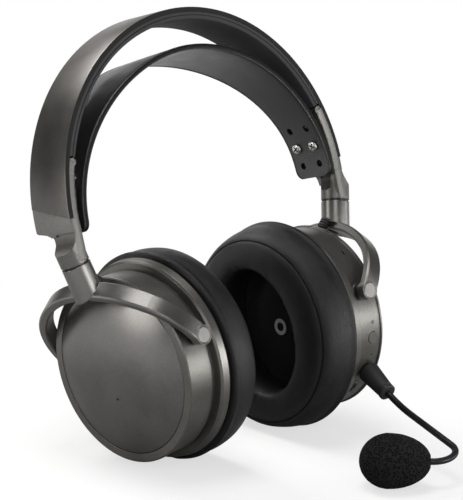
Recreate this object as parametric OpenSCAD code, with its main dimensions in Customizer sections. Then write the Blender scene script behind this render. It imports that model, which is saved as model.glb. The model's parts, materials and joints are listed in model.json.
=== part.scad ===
// Over-ear wireless headset with a suspended head strap, two swivelling yokes,
// round closed cups with planar drivers and a plug-in gooseneck microphone.
// It is drawn upright about the point midway between its two swivel joints,
// +X to the wearer's left, -Y to the front, +Z up, and then leaned back on its
// cups as it stands on a table, where the microphone's foam is its third foot.

/* [Rest] */
// How far the headset leans back on its cups, in degrees
lean = 17.4; // [10:0.1:20]
// How far the swivel joints lie behind the middle of the footprint
joint_y = 37.4; // [36:0.1:44]
// Height of the swivel joints above the table
joint_h = 105.9; // [104:0.1:109]
// How far the headset leans to the right, because its cups droop unequally, in degrees
roll = 1.1; // [0:0.1:2]
// How far the right cup is turned to the front on its post, in degrees
turn_right = 2; // [0:0.5:4]

/* [Headband] */
// Outer radius of the arch
arch_r = 90.5; // [88:0.5:94]
// Height of the arch's centre above the swivel joints
arch_rise = 20; // [18:0.5:24]
// How far the arch's middle lies behind the swivel joints
arch_y = 6.5; // [5:0.5:8]
// Width of the band, front to back
band_w = 28; // [26:0.5:32]
// Thickness of the outer cover
cover_t = 1.2; // [1:0.1:1.4]
// Thickness of the steel spring
spring_t = 1; // [0.8:0.1:1.2]
// Width of the steel spring
spring_w = 18; // [14:0.5:20]
// Thickness of the soft inner liner
liner_t = 3.9; // [3.4:0.1:4.2]
// Angle from the top at which the cover ends, at mid width
cover_end = 86.6; // [84:0.1:88]
// Slant of the cover's end line, in degrees of arch, front to back
cover_slant = 4.6; // [0:0.1:6]

/* [End brackets] */
// Angle from the top at which the bracket's tongue starts
tongue_top = 70; // [66:0.5:74]
// Thickness of the tongue's plate
tongue_t = 2.2; // [2:0.1:2.6]
// Width of the tongue's front rail
rail_w = 4; // [3:0.1:4.5]
// Depth of the tongue's front rail, along the arch's radius
rail_t = 4.2; // [3.6:0.1:4.4]
// Height of the scoops' upper edge above the swivel joint
step_h = 14; // [13:0.5:15]
// Height of the plate's lower back corner above the swivel joint
heel_h = 16.5; // [16:0.5:18]
// Radius of the plate's lower back corner
heel_r = 3; // [2:0.5:4]
// Radius of the scoops above the post
scoop_r = 11; // [10:0.5:12]

/* [Strap] */
// How far the strap, where it is widest, stays inside the arch's outer face
strap_inset = 8.9; // [8.7:0.1:10.5]
// Height at which the strap is widest, above the swivel joints
strap_foot = 16; // [14:0.5:20]
// Rise of the strap from there to its top
strap_rise = 73; // [66:0.5:74]
// How full the strap's curve is at the shoulders, 2 is an ellipse
strap_power = 1.96; // [1.8:0.02:2]
// Width of the strap at the top
strap_w = 44; // [36:0.5:48]
// Width of the strap at its ends
strap_end_w = 26; // [24:0.5:28]
// Thickness of the strap
strap_t = 3; // [2.4:0.1:3.2]
// How far the strap's middle lies behind the swivel joints, at the top
strap_y = 10.8; // [5:0.1:12]
// The same at its ends
strap_end_y = 4.3; // [4:0.1:6]
// Slope across the strap's top, front edge high
strap_slope = 0.06; // [0:0.01:0.12]
// Spacing of the strap's two columns of holes
hole_gap = 12; // [10:0.5:13]
// Spacing of the strap's three rows of holes
row_gap = 9.6; // [8:0.1:10]
// Height of the middle row of holes above the swivel joints
row_h = 30.4; // [29:0.1:32]
// Radius of the strap's holes
hole_r = 1.8; // [1.6:0.1:2.2]
// Radius of the strap screws' heads
screw_head_r = 2.7; // [2.4:0.1:3]
// Radius of the strap screws' shanks
screw_r = 1.25; // [1:0.05:1.4]

/* [Swivel] */
// How far the swivel joints lie inside the arch's outer face
post_inset = 3.5; // [2:0.5:5.5]
// Tilt of each post from the vertical, top outwards
post_tilt = 15; // [13:0.5:17]
// Radius of the post and the barrel
post_r = 7.2; // [6.8:0.1:7.6]
// Radius of the steel swivel pin
pin_r = 3; // [2.6:0.1:3.4]
// Thickness of the friction washer between post and barrel
washer_t = 1; // [0.8:0.1:1.2]
// How far the washer stands back from the post's surface
washer_inset = 0.6; // [0.4:0.1:0.8]
// Distance from the swivel joint down to the yoke, along the post
barrel_len = 14; // [13:0.5:15]

/* [Yoke] */
// Tilt of the yoke's plane from the vertical, top outwards
yoke_tilt = 41; // [39:0.5:43]
// Half the yoke's width over its arm ends
yoke_half = 51.7; // [51:0.1:53]
// Height of the yoke's top over its pivots, in its own plane
yoke_top = 43.5; // [43:0.1:45]
// Radius of the yoke's shoulders
shoulder_r = 38; // [36:0.5:39]
// Thickness of the yoke's arms
yoke_t = 4.4; // [4:0.1:4.6]
// Width of the yoke's arms
yoke_w = 9.4; // [8.5:0.1:10.5]
// How far the cups' pivots lie behind the post
pivot_y = 8; // [7:0.5:9]
// Radius of the pivot pins
pivot_r = 2; // [1.6:0.1:2.2]
// Radius of the pivot caps
cap_r = 4.1; // [3.6:0.1:4.3]
// Thickness of the pivot caps
cap_t = 0.9; // [0.7:0.1:1.1]

/* [Cup] */
// Height of the pivots over the cup's centre
pivot_rise = 9.6; // [8:0.1:11]
// How far the left cup's outer face looks down at rest, in degrees
droop_left = 0.5; // [-1:0.5:4]
// The same on the right
droop_right = 4.5; // [0:0.5:6]
// Radius of the cup's side wall
wall_r = 45.5; // [45:0.1:46]
// Thickness of the cup's side wall
wall_t = 2.2; // [1.8:0.1:2.4]
// Radius of the rim ring
rim_r = 46.2; // [46.1:0.1:46.6]
// How far the rim ring's face lies outboard of the pivots
rim_s = 10.4; // [10:0.1:11]
// Radius of the flange that carries the ear pad
flange_r = 50; // [49.5:0.1:51]
// How far the flange's face lies inboard of the pivots
flange_s = 12.5; // [12:0.1:13]
// Thickness of the flange
flange_t = 5; // [4:0.1:5.4]
// Width of the groove between wall and flange
groove_w = 2.4; // [1.6:0.1:3]
// Depth of the groove between wall and flange
groove_d = 1.3; // [0.8:0.1:1.4]
// Width of the rim round the dome cover
dome_rim = 4; // [3.5:0.1:4.5]
// Height of the dome over its edge
dome_h = 8; // [5:0.5:10]
// Thickness of the dome cover
dome_t = 1.8; // [1.4:0.1:2]
// Thickness of the baffle
baffle_t = 2; // [1.6:0.1:2.2]

/* [Driver] */
// Width of the driver's frame round its open face
driver_rim = 5.5; // [4.5:0.5:7.5]
// Depth of the driver's frame
driver_d = 4.8; // [4:0.1:4.8]
// Number of magnet bars
bar_count = 9; // [5:2:11]
// Width of a magnet bar
bar_w = 3; // [2:0.1:3.4]

/* [Ear pad] */
// Largest radius of the ear pad
pad_r = 52.5; // [52:0.1:54]
// Depth of the ear pad from its plate to its crown
pad_d = 21; // [18:0.5:24]
// Half the height of the pad's opening
pad_open_h = 32; // [30:0.5:33]
// Half the width of the pad's opening
pad_open_w = 25; // [23:0.5:28]
// Backward tilt of the pad's opening, in degrees
pad_open_tilt = 8; // [0:1:12]
// Thickness of the pad's mounting plate
plate_t = 1.4; // [1.2:0.1:1.8]

/* [Microphone] */
// Angle of the microphone socket below the front of the cup
mic_angle = 41.1; // [38:0.1:43]
// How far the socket points inwards, in degrees
mic_skew = 8.1; // [4:0.1:12]
// How far outboard of the pivots the socket lies
mic_s = 3.7; // [3.5:0.1:5]
// How far the gooseneck is turned in its socket, in degrees
mic_turn = 111; // [0:1:360]
// Radius of the plug's contact
jack_r = 1.75; // [1.25:0.05:1.75]
// Length of the plug's contact
jack_len = 14; // [11:0.5:15]
// Radius of the boot where it meets the cup
boot_r = 5.5; // [5:0.1:6]
// Length of the boot
boot_len = 18.1; // [17:0.1:22]
// Radius of the gooseneck
boom_r = 1.65; // [1.5:0.05:2]
// Angle of the gooseneck's first bend
boom_rise = 16.3; // [12:0.1:20]
// Radius of the gooseneck's first bend
boom_rise_r = 71.5; // [60:0.5:80]
// Length of the gooseneck's straight run
boom_run = 36.7; // [34:0.1:42]
// Angle between the planes of the gooseneck's two bends
boom_twist = 78; // [0:1:360]
// Angle of the gooseneck's hook
boom_hook = 120; // [118:0.5:132]
// Radius of the gooseneck's hook
boom_hook_r = 11.5; // [8:0.1:12]
// Length of the gooseneck's end, from the hook to the foam
boom_tail = 0.9; // [0.5:0.1:3]
// Length of the foam windscreen
foam_len = 34; // [32:0.5:38]
// Radius of the foam windscreen
foam_r = 13.4; // [13:0.1:15]

/* [Controls] */
// Radius of the power button
power_r = 3; // [2.6:0.1:3.4]
// Travel of the power and mute buttons
button_travel = 0.6; // [0.4:0.1:0.8]
// Radius of the thumb wheels
wheel_r = 8; // [7:0.1:8.5]
// Thickness of the thumb wheels
wheel_t = 4; // [3.4:0.1:4.6]
// How far the thumb wheels stand out of the wall
wheel_out = 1.5; // [1:0.1:2]

/* [Hidden] */
// Clearances: between pieces that are fixed together, and between those that turn
fit = 0.1;
run = 0.05;
seat = 0.3;
eps = 0.01;
$fn = 96;

// The band's layers, from the outside in
cover_in = arch_r - cover_t;
spring_out = cover_in - fit;
liner_out = spring_out - spring_t - fit;
liner_in = liner_out - liner_t;
tongue_in = liner_out - tongue_t;
rail_in = liner_out - rail_t;
band_front = arch_y - band_w / 2;
band_back = arch_y + band_w / 2;
lip_t = 1;
lip_in = liner_out + fit;
cover_reach = cover_end + cover_slant;

// Where the strap's screws meet the tongue
strap_span = arch_r - strap_inset;
row_plate_t = 1;
boss_r = 3;
screw_reach = strap_t / 2 + seat + row_plate_t + 2.6;

// The yoke's middle between its pivots
joint_x = arch_r - post_inset;
yoke_mid = yoke_top - yoke_t / 2;
yoke_x = joint_x - barrel_len * sin(post_tilt) - yoke_mid * sin(yoke_tilt);
yoke_z = -barrel_len * cos(post_tilt) - yoke_mid * cos(yoke_tilt);
arm_in = yoke_half - yoke_t;

// The yoke's outline is a crown arc between two shoulder arcs
shoulder_y = yoke_half - shoulder_r;
crown_r = (shoulder_y * shoulder_y + yoke_top * yoke_top - shoulder_r * shoulder_r)
    / (2 * (yoke_top - shoulder_r));
crown_z = yoke_top - crown_r;
crown_a = atan2(shoulder_y, -crown_z);
edge_c = 0.8;
joint_step = 0.05;

// The cup's inside
wall_in = wall_r - wall_t;
baffle_seat = -flange_s + baffle_t;
baffle_r = flange_r - 3;
groove_top = -flange_s + flange_t + groove_w;
neck_r = wall_r - groove_d - wall_t + 0.3;
dome_seat = rim_s - 2.2;
dome_r = wall_r - dome_rim;
dome_hole = dome_r - 1.7;
skirt_t = 1.6;
skirt_d = 0.8;
bush_r = pivot_r + 1;
bush_flange_r = 4.3;
bush_flange_t = 1.2;
bush_in = wall_in - 5;
driver_r = neck_r - 0.8;
driver_open_r = driver_r - driver_rim;
frame_back = baffle_seat + driver_d;
film_s = baffle_seat + 1.3;
bridge_t = 1.4;
post_top = 3.4;
post_ring = 25;
plate_s = -flange_s - fit;
pad_s = plate_s - plate_t - seat / 3;
bar_pitch = 2 * (driver_open_r - 4) / bar_count;

// The controls on the left cup, by their angle from the front of the wall
control_s = 3.6;
led_a = -8.5;
power_a = -18.3;
pinhole_a = -30;
usb_a = -57;
wheel_a = [-166, -141];
mute_a = -120;
aux_a = -99;
aux_len = 12;
socket_r = 3.4;
button_lip = 0.8;

// ---- Places -------------------------------------------------------------

// The headset leaned back on the table
module at_rest() {
    translate([0, joint_y, joint_h]) rotate([0, -roll, 0]) rotate([-lean, 0, 0]) children();
}

// A piece of the left side, or its mirror image on the right
module on_side(left) {
    at_rest() mirror([left ? 0 : 1, 0, 0]) children();
}

// A piece that turns with a cup's yoke on its post
module on_yoke_side(left) {
    on_side(left) at_post() rotate([0, 0, left ? 0 : -turn_right])
        rotate([0, -post_tilt, 0]) translate([-joint_x, 0, 0]) children();
}

// The left post, with its joint at the origin and +Z up its axis
module at_post() {
    translate([joint_x, 0, 0]) rotate([0, post_tilt, 0]) children();
}

// The left yoke's plane, with its pivots on the Y axis
module at_yoke() {
    translate([yoke_x, pivot_y, yoke_z]) rotate([0, yoke_tilt, 0]) children();
}

// A piece of a cup, with its centre at the origin and +X outboard along its axis
module on_cup(left) {
    on_yoke_side(left) translate([yoke_x, pivot_y, yoke_z])
        rotate([0, left ? droop_left : droop_right, 0]) translate([0, 0, -pivot_rise]) children();
}

// A place on the cup's wall: +Z is outward, +X along the cup's axis
module at_wall(angle, s) {
    translate([s, 0, 0]) rotate([90 - angle, 0, 0]) children();
}

// The microphone socket's axis, which starts at the cup's wall
module at_mic() {
    at_wall(-mic_angle, mic_s) translate([0, 0, wall_r]) rotate([0, -mic_skew, 0]) children();
}

// ---- Helpers ------------------------------------------------------------

// A stretch of the arch from angle a0 to a1, both from the top; the profile is [radius, y]
module arch(a0, a1) {
    translate([0, 0, arch_rise]) rotate([-90, 0, 0]) rotate([0, 0, a0 - 90])
        rotate_extrude(angle = a1 - a0) children();
}

// A ring about the cup's axis; the profile is [radius, outboard]
module revolve() {
    rotate([0, 90, 0]) rotate_extrude() children();
}

// An arc of the yoke in its own plane, from angle a0 to a1 from the top
module yoke_arc(r, a0, a1, step = 0) {
    rotate([0, 90, 0]) rotate([0, 0, 180 - a1]) rotate_extrude(angle = a1 - a0)
        arm_profile(r - step, yoke_t - 2 * step, yoke_w / 2 - step);
}

// Cross-section of a yoke arm whose outer face lies at radius r
module arm_profile(r, t, h) {
    polygon([
        [r - t, -h + edge_c], [r - t + edge_c, -h], [r - edge_c, -h], [r, -h + edge_c],
        [r, h - edge_c], [r - edge_c, h], [r - t + edge_c, h], [r - t, h - edge_c]
    ]);
}

// A bar with rounded ends, lying along X, centred
module stadium(length, width, depth) {
    hull_half = (length - width) / 2;
    linear_extrude(depth) union() {
        square([length - width, width], center = true);
        for (side = [-1, 1]) translate([side * hull_half, 0]) circle(width / 2, $fn = 48);
    }
}

// ---- Headband -----------------------------------------------------------

// The arch's slanted end: everything below the cover's end line on the left
module below_cover(shift = 0) {
    slope = atan2(arch_r * sin(cover_slant), band_w);
    z_mid = arch_r * cos(cover_end) + shift;
    translate([arch_r, arch_y, arch_rise + z_mid]) rotate([slope, 0, 0])
        translate([0, 0, -20]) cube([60, 80, 40], center = true);
}

// Pressed aluminium cover with turned-in lips along both edges
module outer_cover() {
    color([0.30, 0.29, 0.28]) at_rest() difference() {
        arch(-cover_reach, cover_reach) polygon([
            [lip_in, band_front], [arch_r - 0.6, band_front], [arch_r - 0.15, band_front + 0.25],
            [arch_r, band_front + 0.8], [arch_r, band_back - 0.8],
            [arch_r - 0.15, band_back - 0.25], [arch_r - 0.6, band_back], [lip_in, band_back],
            [lip_in, band_back - lip_t], [cover_in, band_back - lip_t],
            [cover_in, band_front + lip_t], [lip_in, band_front + lip_t]
        ]);
        for (side = [0, 1]) mirror([side, 0, 0]) below_cover();
    }
}

// Black inner liner between the two brackets, with a fine groove along each edge
module band_liner() {
    span = tongue_top - 0.3;
    inset = 0.2;
    color([0.08, 0.08, 0.08]) at_rest() arch(-span, span) polygon([
        [liner_in, band_front + 1.6], [liner_in + 0.4, band_front + 0.6],
        [liner_in + 1.4, band_front + inset], [liner_in + 2, band_front + inset],
        [liner_in + 2, band_front + inset + 0.6], [liner_in + 2.4, band_front + inset + 0.6],
        [liner_in + 2.4, band_front + inset], [liner_out, band_front + inset],
        [liner_out, band_back - inset], [liner_in + 2.4, band_back - inset],
        [liner_in + 2.4, band_back - inset - 0.6], [liner_in + 2, band_back - inset - 0.6],
        [liner_in + 2, band_back - inset], [liner_in + 1.4, band_back - inset],
        [liner_in + 0.4, band_back - 0.6], [liner_in, band_back - 1.6]
    ]);
}

// Spring steel strip that gives the clamping force
module band_spring() {
    span = cover_end - 5;
    color([0.55, 0.56, 0.58]) at_rest() arch(-span, span)
        translate([spring_out - spring_t, arch_y - spring_w / 2]) square([spring_t, spring_w]);
}

// Everything below the plate's lower edge, seen from the side as [y, z]
module below_plate() {
    ledge = step_h + 1;
    heel = [for (a = [0 : 15 : 90])
        [band_back - heel_r + heel_r * cos(a), heel_h + heel_r - heel_r * sin(a)]];
    polygon(concat(
        [[band_front - 5, -20], [band_back + 5, -20], [band_back + 5, heel_h + heel_r]],
        heel,
        [[post_r + 5.3, ledge + 0.6], [post_r + 3, ledge - 0.4], [post_r + 1.6, ledge - 1.6],
         [post_r + 0.7, ledge - 3.2], [post_r, ledge - 6], [post_r - 1.5, ledge - 6],
         [post_r - 1.5, ledge], [band_front - 5, ledge]]
    ));
}

// Cross-section of tongue, rail and plate in one, as [radius, y]
module bracket_section() {
    f = band_front;
    r = 2.2;
    polygon([
        [rail_in, f + r], [rail_in + 0.3 * r, f + 0.3 * r], [rail_in + r, f], [arch_r - r, f],
        [arch_r - 0.3 * r, f + 0.3 * r], [arch_r, f + r], [arch_r, band_back - 0.8],
        [arch_r - 0.6, band_back], [tongue_in, band_back], [tongue_in, f + rail_w],
        [rail_in + 0.5, f + rail_w], [rail_in, f + rail_w - 0.5]
    ]);
}

// Where the middle of the strap's screw rows lies, with +Z square to the strap, outward
row_tilt = 12.7;
row_x = strap_span * pow(1 - pow((row_h - strap_foot) / strap_rise, strap_power), 1 / strap_power);
module at_row() {
    translate([row_x, strap_end_y, row_h]) rotate([0, 90 - row_tilt, 0]) children();
}

// Tongue under the cover and plate below it, with the rail's rounded upper end
module bracket_plate() {
    rail_half = (liner_out - rail_in) / 2;
    rail_mid = rail_in + rail_half;
    tip_a = tongue_top + rail_half / rail_mid * 180 / PI;
    difference() {
        arch(tip_a, 99) bracket_section();
        difference() {
            arch(60, 96) translate([liner_out, band_front - 1]) square([10, band_w + 2]);
            below_cover(-fit);
        }
        translate([60, 0, 0]) rotate([90, 0, 90]) linear_extrude(60) below_plate();
        intersection() {
            outer_scoop();
            translate([joint_x + 20, 0, 0]) cube([60, 60, 2 * step_h], center = true);
        }
    }
    translate([0, 0, arch_rise]) rotate([0, tip_a, 0]) translate([0, band_front + 0.4, rail_mid])
        rotate([-90, 0, 0]) cylinder(r = rail_half - 0.1, h = rail_w - 0.8, $fn = 48);
}

// Post with its two scoops, which grows out of the rail's lower end
module bracket_post() {
    bar_x = rail_in - 0.05;
    difference() {
        union() {
            at_post() translate([0, 0, washer_t / 2]) cylinder(r = post_r, h = 15.5);
            translate([0, 0, 1.5]) linear_extrude(step_h + 2) polygon([
                [bar_x, band_front + 2.2], [bar_x + 0.66, band_front + 0.7],
                [bar_x + 2.2, band_front + 0.05], [arch_r - 2.3, band_front + 0.05],
                [arch_r - 0.76, band_front + 0.7], [arch_r - 0.1, band_front + 2.2],
                [arch_r - 0.1, band_front + 5.5], [bar_x + 0.4, band_front + rail_w - 0.1],
                [bar_x, band_front + rail_w - 0.5]
            ]);
        }
        outer_scoop();
        translate([tongue_in + 0.6 - scoop_r, band_front + rail_w, step_h + 2])
            rotate([-90, 0, 0]) cylinder(r = scoop_r, h = 30);
        at_post() translate([0, 0, -1]) cylinder(r = pin_r + fit / 5, h = 7.5);
    }
}

// Cast bracket, with two drilled bosses behind the strap's screws
module bracket() {
    boss_z = strap_t / 2 + seat + row_plate_t;
    difference() {
        union() {
            bracket_plate();
            bracket_post();
            for (side = [-1, 1]) at_row() translate([0, side * hole_gap / 2, boss_z])
                cylinder(r = boss_r, h = 3.8);
        }
        for (side = [-1, 1]) at_row() translate([0, side * hole_gap / 2, 0])
            cylinder(r = screw_r + fit / 5, h = screw_reach + 0.1);
    }
}

// Hollow in the post's outboard face, below the plate
module outer_scoop() {
    translate([arch_r - 1.2 + scoop_r, 0, step_h + 1.2]) rotate([90, 0, 0])
        cylinder(r = scoop_r, h = 60, center = true);
}

module bracket_left() { color([0.42, 0.41, 0.39]) on_side(true) bracket(); }
module bracket_right() { color([0.42, 0.41, 0.39]) on_side(false) bracket(); }

// ---- Strap --------------------------------------------------------------

strap_sides = 12;
strap_last = 91.8;
// Angles of the strap's rings from the top, closer together at its rounded ends
strap_half = concat(
    [for (a = [0 : 4 : 84]) a],
    [for (tip = [5, 3.6, 2.6, 1.7, 1, 0.5, 0.2, 0]) strap_last - tip]
);
strap_angles = concat([for (i = [len(strap_half) - 1 : -1 : 1]) -strap_half[i]], strap_half);

// The strap's path: its point [x, z] at angle a from the top
function strap_at(a) = [
    strap_span * sign(sin(a)) * pow(abs(sin(a)), 2 / strap_power),
    strap_foot + strap_rise * sign(cos(a)) * pow(abs(cos(a)), 2 / strap_power)
];
// Direction square to the path, away from the head
function strap_out(a) =
    let (d = strap_at(a + 0.5) - strap_at(a - 0.5))
    [-d[1], d[0]] / norm(d);
// How much of the top's width is left at angle a
function strap_share(a) = pow(max(0, cos(min(90, abs(a) * 1.08))), 2.2);
// Half width, rounded off at each tip
function strap_half_w(a) =
    let (tip = max(0, abs(a) - strap_last + 4) / 4)
    (strap_end_w + (strap_w - strap_end_w) * strap_share(a)) / 2
    - 5 * (1 - sqrt(max(0, 1 - tip * tip)));
// Ring of points across the strap: a flat pad with rounded, thinner edges
function strap_ring(a) =
    let (
        p = strap_at(a), n = strap_out(a), w = strap_half_w(a), share = strap_share(a),
        y = strap_end_y + (strap_y - strap_end_y) * share
    )
    [for (k = [0 : strap_sides - 1])
        let (
            t = 360 * (k + 0.5) / strap_sides,
            across = w * sign(cos(t)) * pow(abs(cos(t)), 0.35),
            up = strap_t / 2 * sign(sin(t)) * pow(abs(sin(t)), 0.6)
        )
        [p[0] + n[0] * up, y + across, p[1] + n[1] * up - strap_slope * across * share]];
strap_points = [for (a = strap_angles) each strap_ring(a)];
strap_faces = concat(
    [for (i = [0 : len(strap_angles) - 2], k = [0 : strap_sides - 1])
        let (
            a = i * strap_sides + k,
            b = i * strap_sides + (k + 1) % strap_sides
        )
        each [[a, a + strap_sides, b], [b, a + strap_sides, b + strap_sides]]],
    [for (k = [1 : strap_sides - 2]) [0, k, k + 1]],
    [for (k = [1 : strap_sides - 2])
        let (last = (len(strap_angles) - 1) * strap_sides) [last, last + k + 1, last + k]]
);

// The six holes at the left end of the strap
module strap_holes(r) {
    at_row() for (row = [-1 : 1], side = [-1, 1])
        translate([-row * row_gap, side * hole_gap / 2, -10]) cylinder(r = r, h = 20, $fn = 24);
}

// Padded leatherette strap that carries the weight on the head
module head_strap() {
    color([0.12, 0.12, 0.12]) at_rest() difference() {
        polyhedron(strap_points, strap_faces);
        for (side = [0, 1]) mirror([side, 0, 0]) strap_holes(hole_r);
    }
}

// Stiffening plate behind the screws at each end of the strap
module strap_plate() {
    at_row() translate([0, 0, strap_t / 2 + seat]) linear_extrude(row_plate_t - fit / 5)
        difference() {
            square([2 * row_gap - 2 * hole_r - 6, hole_gap + 2 * hole_r + 3], center = true);
            for (side = [-1, 1]) translate([0, side * hole_gap / 2]) circle(screw_r + fit);
        }
}

module strap_plate_left() { color([0.2, 0.2, 0.2]) on_side(true) strap_plate(); }
module strap_plate_right() { color([0.2, 0.2, 0.2]) on_side(false) strap_plate(); }

// Pan-head screws in the middle row of the strap's holes, two at each end
module strap_screws() {
    head_t = 1.5;
    color([0.8, 0.8, 0.8]) at_rest() for (side = [0, 1], y = [-1, 1]) mirror([side, 0, 0])
        at_row() translate([0, y * hole_gap / 2, 0]) difference() {
            union() {
                translate([0, 0, -strap_t / 2 - head_t - fit])
                    cylinder(r1 = screw_head_r - 0.7, r2 = screw_head_r, h = head_t);
                translate([0, 0, -strap_t / 2 - 2 * fit])
                    cylinder(r = screw_r, h = strap_t / 2 + 2 * fit + screw_reach);
            }
            for (turn = [0, 90]) rotate([0, 0, turn]) translate([0, 0, -strap_t / 2 - head_t - fit])
                cube([3, 0.6, 1.4], center = true);
        }
}

// ---- Swivel -------------------------------------------------------------

clip_z = -barrel_len + 4.6;
clip_t = 0.8;
clip_groove = 0.5;

// Pin pressed into the post, with a groove for its clip
module swivel_pin() {
    at_post() rotate_extrude() polygon([
        [0, clip_z - 2], [pin_r - 0.3, clip_z - 2], [pin_r, clip_z - 1.7],
        [pin_r, clip_z - clip_t - fit], [pin_r - clip_groove, clip_z - clip_t - fit],
        [pin_r - clip_groove, clip_z], [pin_r, clip_z],
        [pin_r, 5.6], [pin_r - 0.5, 6.1], [0, 6.1]
    ]);
}
module swivel_pin_left() { color([0.75, 0.75, 0.76]) on_side(true) swivel_pin(); }
module swivel_pin_right() { color([0.75, 0.75, 0.76]) on_side(false) swivel_pin(); }

// Ring between post and barrel that shows as a dark line with bright notches
module swivel_washer() {
    notches = 12;
    at_post() difference() {
        translate([0, 0, -washer_t / 2]) cylinder(r = post_r - washer_inset, h = washer_t);
        translate([0, 0, -1]) cylinder(r = pin_r + fit / 5, h = 2);
        for (i = [0 : notches - 1]) rotate([0, 0, 360 / notches * i])
            translate([post_r - washer_inset, 0, 0]) cube([0.8, 1, 3], center = true);
    }
}
module swivel_washer_left() { color([0.15, 0.15, 0.15]) on_yoke_side(true) swivel_washer(); }
module swivel_washer_right() { color([0.15, 0.15, 0.15]) on_yoke_side(false) swivel_washer(); }

// Retaining ring in the pin's groove, under the barrel's floor
module swivel_clip() {
    at_post() translate([0, 0, clip_z - clip_t]) difference() {
        cylinder(r = pin_r + 1.2, h = clip_t - fit / 2);
        translate([0, 0, -1]) cylinder(r = pin_r - clip_groove + fit / 5, h = 3);
    }
}
module swivel_clip_left() { color([0.6, 0.6, 0.62]) on_yoke_side(true) swivel_clip(); }
module swivel_clip_right() { color([0.6, 0.6, 0.62]) on_yoke_side(false) swivel_clip(); }

// ---- Yoke ---------------------------------------------------------------

boss_end_r = yoke_w / 2;

// Cast C-shaped yoke with its barrel and round arm ends
module yoke() {
    difference() {
        union() {
            at_yoke() {
                translate([0, 0, crown_z]) yoke_arc(crown_r, -crown_a, crown_a);
                for (side = [0, 1]) mirror([0, side, 0]) {
                    translate([0, shoulder_y, 0]) yoke_arc(shoulder_r, crown_a - 2, 90, joint_step);
                    translate([0, arm_in, 0]) rotate([-90, 0, 0])
                        cylinder(r = boss_end_r, h = yoke_t);
                }
            }
            intersection() {
                at_post() translate([0, 0, -30 - washer_t / 2 - run]) cylinder(r = post_r, h = 30);
                at_yoke() translate([0, -pivot_y, yoke_top - 2.5 + 25])
                    cube([50, 50, 50], center = true);
            }
        }
        at_post() {
            translate([0, 0, -30]) cylinder(r = pin_r + run, h = 31);
            translate([0, 0, clip_z - 30]) cylinder(r = pin_r + 1.5, h = 30 - run);
        }
        at_sleeve() cylinder(r = sleeve_r + run, h = 6);
        at_yoke() for (side = [0, 1]) mirror([0, side, 0]) {
            translate([0, arm_in - 1, 0]) rotate([-90, 0, 0])
                cylinder(r = pivot_r + fit / 5, h = yoke_t + 2);
            translate([0, yoke_half - cap_t + 0.2, 0]) rotate([-90, 0, 0])
                cylinder(r = cap_r + fit, h = 2);
        }
    }
}
module yoke_left() { color([0.36, 0.35, 0.34]) on_yoke_side(true) yoke(); }
module yoke_right() { color([0.36, 0.35, 0.34]) on_yoke_side(false) yoke(); }

// The cable sleeve's axis, from inside the barrel down towards the cup
sleeve_r = 2.6;
module at_sleeve() {
    at_yoke() translate([-yoke_w / 2 - sleeve_r - 0.1, -pivot_y, yoke_top - 1.7])
        rotate([0, 190, 0]) children();
}

// Ribbed rubber sleeve where the cup's lead passes from the barrel
module cable_sleeve() {
    rib = 0.5;
    pitch = 1.6;
    at_sleeve() difference() {
            union() {
                cylinder(r = sleeve_r - rib, h = 5.5, $fn = 48);
                for (i = [0 : 2]) translate([0, 0, 0.5 + i * pitch])
                    cylinder(r = sleeve_r, h = 0.9, $fn = 48);
            }
            translate([0, 0, -1]) cylinder(r = 1.2, h = 9, $fn = 48);
        }
}
module cable_sleeve_left() { color([0.05, 0.05, 0.05]) on_yoke_side(true) cable_sleeve(); }
module cable_sleeve_right() { color([0.05, 0.05, 0.05]) on_yoke_side(false) cable_sleeve(); }

// Steel pins at the ends of both arms
module pivot_pins() {
    at_yoke() for (side = [0, 1]) mirror([0, side, 0])
        translate([0, bush_in + 0.5, 0]) rotate([-90, 0, 0])
            cylinder(r = pivot_r, h = yoke_half - cap_t + 0.1 - bush_in - 0.5);
}
module pivot_pins_left() { color([0.75, 0.75, 0.76]) on_yoke_side(true) pivot_pins(); }
module pivot_pins_right() { color([0.75, 0.75, 0.76]) on_yoke_side(false) pivot_pins(); }

// Round caps over the pins, a little proud of the arms
module pivot_caps() {
    at_yoke() for (side = [0, 1]) mirror([0, side, 0])
        translate([0, yoke_half - cap_t + 0.25, 0]) rotate([-90, 0, 0]) {
            cylinder(r = cap_r, h = cap_t - 0.3);
            translate([0, 0, cap_t - 0.3]) cylinder(r1 = cap_r, r2 = cap_r - 0.4, h = 0.3);
        }
}
module pivot_caps_left() { color([0.34, 0.33, 0.32]) on_yoke_side(true) pivot_caps(); }
module pivot_caps_right() { color([0.34, 0.33, 0.32]) on_yoke_side(false) pivot_caps(); }

// Flanged nylon bushes in the cup's wall
module pivot_bushes() {
    translate([0, 0, pivot_rise]) for (side = [0, 1]) mirror([0, side, 0])
        rotate([-90, 0, 0]) difference() {
            union() {
                translate([0, 0, bush_in]) cylinder(r = bush_r, h = wall_r + fit - bush_in);
                translate([0, 0, wall_r + fit / 2]) cylinder(r = bush_flange_r, h = bush_flange_t);
            }
            translate([0, 0, bush_in - 1]) cylinder(r = pivot_r + run, h = 12);
        }
}
module pivot_bushes_left() { color([0.1, 0.1, 0.1]) on_cup(true) pivot_bushes(); }
module pivot_bushes_right() { color([0.1, 0.1, 0.1]) on_cup(false) pivot_bushes(); }

// ---- Cup ----------------------------------------------------------------

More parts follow.
